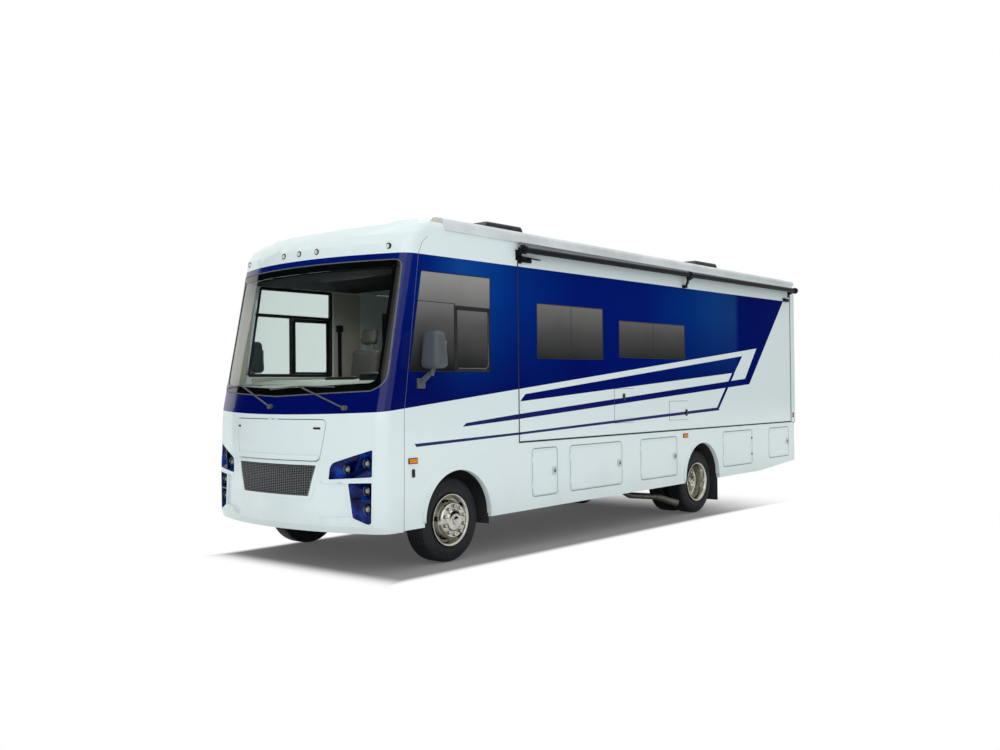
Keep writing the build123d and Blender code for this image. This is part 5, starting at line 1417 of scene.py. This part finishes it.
def buildLamps():
    look = fittingLook
    bezels, lenses = [], []
    for y, z in look["browLamps"]:
        spot = (noseSurface(y, z), y, z)
        bezels.append(turned("bezel", look["browBezel"], spot, 32))
        lenses.append(turned("dome", look["browDome"], spot, 28))
    finishAll(bezels, "browBezels", blackPlastic, slot="grey_plastic", replaces=("marker_lamps",))
    finishAll(lenses, "browLenses", clearLens, slot="lamp_glass")
    bases, ambers = [], []
    for side in (1, -1):
        for x, z in look["sideLamps"]:
            bases.append(spotBox("base", side, x, z, 0.062, 0.028, (1.279, 1.2875)))
            ambers.append(spotBox("amber", side, x, z, 0.053, 0.021, (1.284, 1.296), 0.005, 3))
        bases.append(sideBox("smallLamp", side, *look["smallLamp"], 0.008, 3))
    finishAll(bases, "sideLampBases", blackPlastic, slot="black_plastic")
    finishAll(ambers, "sideLampLenses", amberLens, slot="amber_lens")


def buildMirrors():
    look = fittingLook
    centre, size = Vector(look["mirror"]), Vector(look["mirrorSize"])
    shell = softBox("mirrorShell", centre - size / 2, centre + size / 2, 0.060, 5)
    with editing(shell, "VERT"):
        pick(shell, lambda c: c.z > centre.z + look["taperFrom"], "verts")
        bpy.ops.transform.resize(value=look["mirrorTaper"], center_override=centre)
    useModifier(shell, "SUBSURF", levels=1)
    foot = softBox("mirrorFoot", *look["mirrorFoot"], 0.008, 3)
    arms = [bar(*arm) for arm in look["mirrorArms"]]
    half, down, up = look["glass"]
    back = centre.x - size.x / 2
    glass = softBox("mirrorGlass", (back - 0.001, centre.y - half, centre.z - down),
                    (back + 0.008, centre.y + half, centre.z + up), 0.003)
    body = joinPieces([shell, foot] + arms, "mirrorLeft")
    glassRight = mirrorPiece(glass, "mirrorGlassRight")
    whole = joinPieces([body, mirrorPiece(body, "mirrorRight")], "mirrorShells")
    finishPiece(whole, greyPlastic, slot="grey_plastic", smooth=50.0, replaces=("mirrors",))
    finishAll([glass, glassRight], "mirrorFaces", rimSteel, slot="rim_chrome", smooth=0)


buildLamps()
buildMirrors()
print("stage: lamps and mirrors")


# soft goods: the topper's fabric and the cab seats
clampX = -1.060
topperLook = {
    "front": 2.390, "rear": -4.290,
    "wallY": 1.2968, "tubeY": 1.395,
    "railFront": (3.510, 3.304), "railRear": (-4.6, 3.240),  # (x, z) of the rail's top
    "railGap": 0.003,
    "tubeZ": 3.2305,
    "sag": 0.006, "ripple": 0.0015,
    "columns": 120, "rows": 8,
    "axleZ": 3.195,  # height of the roller's own axis
    "capsX": (2.413, -4.313),
    # (distance forwards, radius) of the end caps and of the clamp round the roller
    "cap": [(-0.020, 0.030), (-0.022, 0.046), (0.022, 0.046), (0.026, 0.040), (0.026, 0.014), (0.034, 0.012),
            (0.034, 0.0)],
    "clamp": [(-0.020, 0.034), (-0.020, 0.043), (0.020, 0.043), (0.020, 0.034)],
    # round bars and soft boxes: name, two opposite ends, and the radius or the rounding
    "struts": [("strut", (clampX + 0.012, 1.385, 3.157), (clampX - 0.018, 1.322, 3.060), 0.009),
               ("strut", (clampX - 0.014, 1.385, 3.157), (clampX - 0.042, 1.322, 3.060), 0.009)],
    "plates": [("strutFoot", (clampX - 0.060, 1.281, 3.030), (clampX + 0.010, 1.330, 3.066), 0.006),
               ("frontPlate", (2.340, 1.2865, 3.060), (2.388, 1.300, 3.235), 0.004),
               ("frontHook", (2.395, 1.345, 3.222), (2.420, 1.400, 3.250), 0.004)],
    "rod": ("rod", (2.385, 1.300, 3.137), (2.030, 1.306, 3.124), 0.007),
    "latches": [("latchBox", (2.190, 1.287, 3.076), (2.365, 1.318, 3.122), 0.006),
                ("rearBox", (-4.285, 1.283, 3.022), (-4.115, 1.312, 3.072), 0.006)],
}


def buildTopper():
    look = topperLook
    length, reach = look["front"] - look["rear"], look["tubeY"] - look["wallY"]
    bpy.ops.mesh.primitive_grid_add(x_subdivisions=look["columns"], y_subdivisions=look["rows"], size=1)
    bpy.context.object.scale = (length, reach, 1)
    cloth = settle(bpy.context.object)
    cloth.name = "topperFabric"
    (frontX, frontZ), (rearX, rearZ) = look["railFront"], look["railRear"]
    for vertex in cloth.data.vertices:
        across = vertex.co.y / reach + 0.5
        x = vertex.co.x + (look["front"] + look["rear"]) / 2
        rail = frontZ + (rearZ - frontZ) * (frontX - x) / (frontX - rearX) - look["railGap"]
        z = rail + (look["tubeZ"] - rail) * across
        z -= look["sag"] * 4 * across * (1 - across)
        # long and short waves along the cloth, none at its held edges
        waves = math.sin(x * 9.1) + 0.6 * math.sin(x * 23.7 + across * 4)
        z += look["ripple"] * math.sin(across * math.pi) * waves
        vertex.co = (x, look["wallY"] + reach * across, z)
    finishPiece(cloth, awningCloth, None, "awning_fabric", smooth=60.0, replaces=("topper_fabric",))
    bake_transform(cloth)


def buildTopperFittings():
    look = topperLook
    y, z = look["tubeY"], look["axleZ"]
    parts = [turned("cap", look["cap"], (x, y, z), 32) for x in look["capsX"]]
    parts.append(turned("clamp", look["clamp"], (clampX, y, z), 32))
    parts += [bar(*strut) for strut in look["struts"]] + [softBox(*plate) for plate in look["plates"]]
    parts += [bar(*look["rod"])] + [softBox(*latch) for latch in look["latches"]]
    finishAll(parts, "topperFittings", awningMetal, "slideout", "awning_metal")


seatLook = {
    "y": 0.615,
    # rear and front ahead of the axle, half width, low, high and rounding, before the back leans
    "cushion": (-0.44, -0.012, 0.240, 1.475, 1.590, 0.045),
    "back": (-0.500, -0.405, 0.238, 1.500, 2.215, 0.040),
    "rest": (-0.498, -0.412, 0.118, 2.258, 2.438, 0.036),
    "lean": 9.5, "leanAbout": (-0.45, 1.53),  # degrees, and the hinge ahead of the axle
    "voxel": 0.010, "cap": 0.024, "steps": 20,
    "posts": (-0.06, 0.06), "post": [(-0.560, 2.18), (-0.572, 2.29)],  # headrest posts: offsets, foot and top
}


def puff(piece, voxel, cap, steps):
    # swells a closed shape as stuffed cloth, each point moving no further than the cap
    activate(piece)
    useModifier(piece, "REMESH", mode="VOXEL", voxel_size=voxel)
    rest = [vertex.co.copy() for vertex in piece.data.vertices]
    cloth = piece.modifiers.new("stuffing", "CLOTH")
    cloth.settings.use_pressure = True
    cloth.settings.uniform_pressure_force = 4
    cloth.settings.effector_weights.gravity = 0
    for frame in range(1, steps + 1):
        bpy.context.scene.frame_set(frame)
    shaped = piece.evaluated_get(bpy.context.evaluated_depsgraph_get())
    moved = [vertex.co.copy() for vertex in shaped.data.vertices]
    piece.modifiers.clear()
    for vertex, before, after in zip(piece.data.vertices, rest, moved):
        run = after - before
        vertex.co = before + (run.normalized() * min(run.length, cap) if run.length else run)
    bpy.context.scene.frame_set(1)
    return piece


def buildSeats():
    look = seatLook
    y = look["y"]
    parts = []
    for name in ("cushion", "back", "rest"):
        rear, front, half, low, high, edge = look[name]
        parts.append(softBox(name, (ahead(rear), y - half, low), (ahead(front), y + half, high), edge, 4))
    hingeX, hingeZ = look["leanAbout"]
    for piece in parts[1:]:
        with editing(piece, whole=True):
            bpy.ops.transform.rotate(value=math.radians(look["lean"]), orient_axis="Y",
                                     center_override=(ahead(hingeX), y, hingeZ))
    seat = joinPieces([puff(piece, look["voxel"], look["cap"], look["steps"]) for piece in parts], "seatLeft")
    useModifier(seat, "SUBSURF", levels=1)
    other = copyPiece(seat, "seatRight", (0, -2 * y, 0))
    finishPiece(seat, seatVinyl, slot="seat_vinyl", smooth=60.0, replaces=("cab_seats",))
    finishPiece(other, seatVinyl, slot="seat_vinyl", smooth=60.0)
    posts = []
    foot, top = fromAxle(look["post"])
    for middle in (y, -y):
        for off in look["posts"]:
            posts.append(bar("post", (foot[0], middle + off, foot[1]), (top[0], middle + off, top[1]), 0.007))
    finishAll(posts, "headrestPosts", ladderAlloy, slot="ladder_aluminium")


cabLook = {
    "padY": (-1.12, -0.9, -0.6, -0.3, 0, 0.3, 0.6, 0.9, 1.12),
    "padZ": 1.735, "padThick": 0.022, "padGap": 0.085, "padRear": 0.36, "padHalf": 1.16,
    "glassFoot": 1.76,  # height at which the dash meets the windscreen
    "rise": 0.085, "riseFrom": 1.0, "riseOver": 0.64,  # the pad rises towards the driver
    "vents": [(-0.95, -0.45), (-0.30, 0.30), (0.45, 0.95)],
    "ventRows": 2, "ventPitch": 0.05, "ventZ": 1.757,
    "binnacles": [((ahead(0.335), 0.40, 1.80), (ahead(0.50), 0.86, 1.900), 0.03, 4),
                  ((ahead(0.335), -0.22, 1.80), (ahead(0.42), 0.24, 1.865), 0.02, 4)],
    "beltX": (-0.68, -0.63), "guideX": (-0.70, -0.61),
    # corners of the inner frame round the window, then its two bars
    "frame": [(0.471, 2.875), (-0.547, 2.875), (-0.536, 1.896), (0.645, 1.896), (0.471, 2.875)],
    "bars": [((0.55, 2.575), (-0.54, 2.565)), ((0.05, 2.57), (0.05, 1.90))],
    "barY": 1.246, "barRadius": 0.020,
    # rear, front, low, high
    "linings": [(-1.0, -0.575, 1.45, 2.88), (-0.575, 0.60, 1.45, 1.870)], "liningY": (1.228, 1.236),
    "visorY": (-1.15, -0.8, -0.4, 0, 0.4, 0.8, 1.15),
    "visorZ": 2.885, "visorTop": 2.93, "visorGap": 0.06, "visorRear": 0.10, "visorHalf": 1.2,
}


def dashRise(x):
    return cabLook["rise"] * max(0.0, (ahead(cabLook["riseFrom"]) - x) / cabLook["riseOver"])


def underGlass(ys, level, gap, z, rear, half):
    # a level face from the windscreen's inside back to a straight edge, the glass taken at its own height
    edge = [(noseSurface(y, level) - gap, y, z) for y in ys]
    return edge + [(ahead(rear), half, z), (ahead(rear), -half, z)]


def buildDash():
    look = cabLook
    pad = underGlass(look["padY"], look["glassFoot"], look["padGap"], look["padZ"], look["padRear"],
                     look["padHalf"])
    pad = extrudeAll(outlineFace("dashPad", pad, 0.03, 4, (0, 0, 1)), (0, 0, look["padThick"]))
    for vertex in pad.data.vertices:
        vertex.co.z += dashRise(vertex.co.x)
    finishPiece(pad, dashPad, slot="dash_vinyl")


def buildCabFittings():
    look = cabLook
    parts = []
    for low, high in look["vents"]:
        front = min(noseSurface(low, look["glassFoot"]), noseSurface(high, look["glassFoot"])) - 0.20
        for row in range(look["ventRows"]):
            x = front - row * look["ventPitch"]
            z = look["ventZ"] + dashRise(x)
            parts.append(softBox("vent", (x - 0.02, low, z), (x, high, z + 0.007), 0.002))
    parts += [softBox("binnacle", *binnacle) for binnacle in look["binnacles"]]
    runs = list(zip(look["frame"], look["frame"][1:])) + look["bars"]
    for side in (1, -1):
        belt, guide = [tuple(ahead(x) for x in look[key]) for key in ("beltX", "guideX")]
        parts.append(sideBox("belt", side, belt, (1.205, 1.222), (1.64, 2.46)))
        parts.append(sideBox("beltGuide", side, guide, (1.195, 1.232), (2.42, 2.50), 0.008))
        for (x0, z0), (x1, z1) in runs:
            y = side * look["barY"]
            parts.append(bar("windowBar", (ahead(x0), y, z0), (ahead(x1), y, z1), look["barRadius"], 8))
    finishAll(parts, "cabFittings", blackPlastic, slot="black_plastic")


def buildCabLinings():
    look = cabLook
    linings = []
    for side in (1, -1):
        inner, outer = sorted(side * y for y in look["liningY"])
        for rear, front, low, high in look["linings"]:
            linings.append(startBox("lining", (ahead(rear), inner, low), (ahead(front), outer, high)))
    finishAll(linings, "cabLinings", innerLining, slot="furniture", smooth=0)
    # the visor along the windscreen's top, near black: partly a real shade band, partly painted shade
    visor = underGlass(look["visorY"], look["visorTop"], look["visorGap"], look["visorZ"], look["visorRear"],
                       look["visorHalf"])
    visor = outlineFace("visor", visor, 0.02, 3, (0, 0, 1))
    useModifier(visor, "SOLIDIFY", thickness=0.012, offset=1)
    finishPiece(visor, headlinerAndPaintedShade, slot="black_plastic")


pipeLook = {
    "path": [(-0.790, 1.010, 0.272), (-0.850, 1.060, 0.252), (-0.905, 1.105, 0.222), (-0.955, 1.150, 0.198),
             (-1.010, 1.200, 0.180)],
    "radius": 0.043, "sides": 28,
    "paintedShadeMouth": ((-1.000, 1.192, 0.1836), (-1.0105, 1.2005, 0.1795), 0.037),
}


def buildTailPipe():
    path, radius, sides = (pipeLook[key] for key in ("path", "radius", "sides"))
    runs = [bar("pipe", start, end, radius, sides) for start, end in zip(path, path[1:])]
    for point in path[1:-1]:
        bpy.ops.mesh.primitive_uv_sphere_add(segments=sides, ring_count=sides // 2, radius=radius,
                                             location=point)
        runs.append(settle(bpy.context.object))
    finishAll(runs, "tailPipe", exhaustSteel, slot="exhaust_steel")
    # painted shade: a near-black disc in the pipe's end
    finishPiece(bar("paintedShadeMouth", *pipeLook["paintedShadeMouth"], sides), paintedShadeBlack, slot="black_plastic")


buildTopper()
buildTopperFittings()
buildSeats()
buildDash()
buildCabFittings()
buildCabLinings()
buildTailPipe()
print("stage: topper, seats and cab")


# the right side and the rear: handles, rails, awning arms, ladder feet and a blank plate
rearLook = {
    "door": (2.130, 1.440, 0.500, 2.900),  # front, rear, low, high
    "doorFace": 1.2815,
    "pane": (0.108, 2.008, 2.692),  # inset, low, high
    "handleIn": 0.085, "handleZ": 1.560,
    "rail": (1.25, 2.05), "railSet": 0.090, "railY": (1.276, 1.335),
    "awning": (ahead(-0.9), ahead(-5.7), 3.155),  # front, rear, middle height
    "armSet": 0.03, "armFoot": 2.10,
    "ladderY": (-0.420, -0.800), "ladderFeet": (1.05, 1.80, 2.55, 3.20),
    "plateHolder": ((-4.602, -0.165, 0.985), (-4.588, 0.165, 1.160)),
    "blankPlate": ((-4.606, -0.150, 0.998), (-4.600, 0.150, 1.148), 0.002),
}


def buildDoorFittings():
    look = rearLook
    front, rear, low, high = look["door"]
    inset, foot, top = look["pane"]
    face, z = look["doorFace"], look["handleZ"]
    pane = oblong(front - inset, rear + inset, foot, top)
    x = rear + look["handleIn"]
    parts = [wallPanel("doorSeal", oblong(front, rear, low, high, 0.002), face, -1, 0.003, 0.07, 0.009),
             wallPanel("doorPane", pane, face + 0.003, -1, 0.006, 0.03, 0.016),
             spotBox("handlePlate", -1, x, z, 0.040, 0.085, (1.279, 1.292), 0.006),
             sideBox("handlePull", -1, (x - 0.027, x + 0.027), (1.290, 1.304), (z - 0.010, z + 0.055), 0.006)]
    finishAll(parts, "doorFittings", blackPlastic, "entry_door", "black_plastic")
    x = rear - look["railSet"]
    wall, grip = (-y for y in look["railY"])
    foot, top = look["rail"]
    rails = [bar("grab", (x, grip, foot), (x, grip, top), 0.014)]
    rails += [bar("grab", (x, wall, z), (x, grip, z), 0.012) for z in (foot + 0.02, top - 0.02)]
    finishAll(rails, "grabRail", ladderAlloy, slot="ladder_aluminium")


def buildAwningArms():
    front, rear, z = rearLook["awning"]
    foot = rearLook["armFoot"]
    parts = []
    for x in (front - rearLook["armSet"], rear + rearLook["armSet"]):
        parts += [sideBox("armHead", -1, (x - 0.035, x + 0.035), (1.276, 1.380), (z - 0.065, z + 0.060), 0.012),
                  sideBox("armRail", -1, (x - 0.022, x + 0.022), (1.279, 1.300), (foot, z - 0.06)),
                  spotBox("armFoot", -1, x, foot, 0.030, 0.04, (1.279, 1.306), 0.006)]
    finishAll(parts, "awningArms", awningMetal, slot="awning_metal")


def buildRear():
    look = rearLook
    feet = [softBox("foot", (-4.603, y - 0.024, z - 0.016), (-4.590, y + 0.024, z + 0.016))
            for y in look["ladderY"] for z in look["ladderFeet"]]
    finishAll(feet, "ladderFeet", ladderAlloy, slot="ladder_aluminium")
    finishPiece(softBox("plateHolder", *look["plateHolder"]), blackPlastic, slot="black_plastic")
    finishPiece(softBox("blankPlate", *look["blankPlate"]), trimPlastic, slot="grey_plastic")


buildDoorFittings()
buildAwningArms()
buildRear()
print("stage: right side and rear")
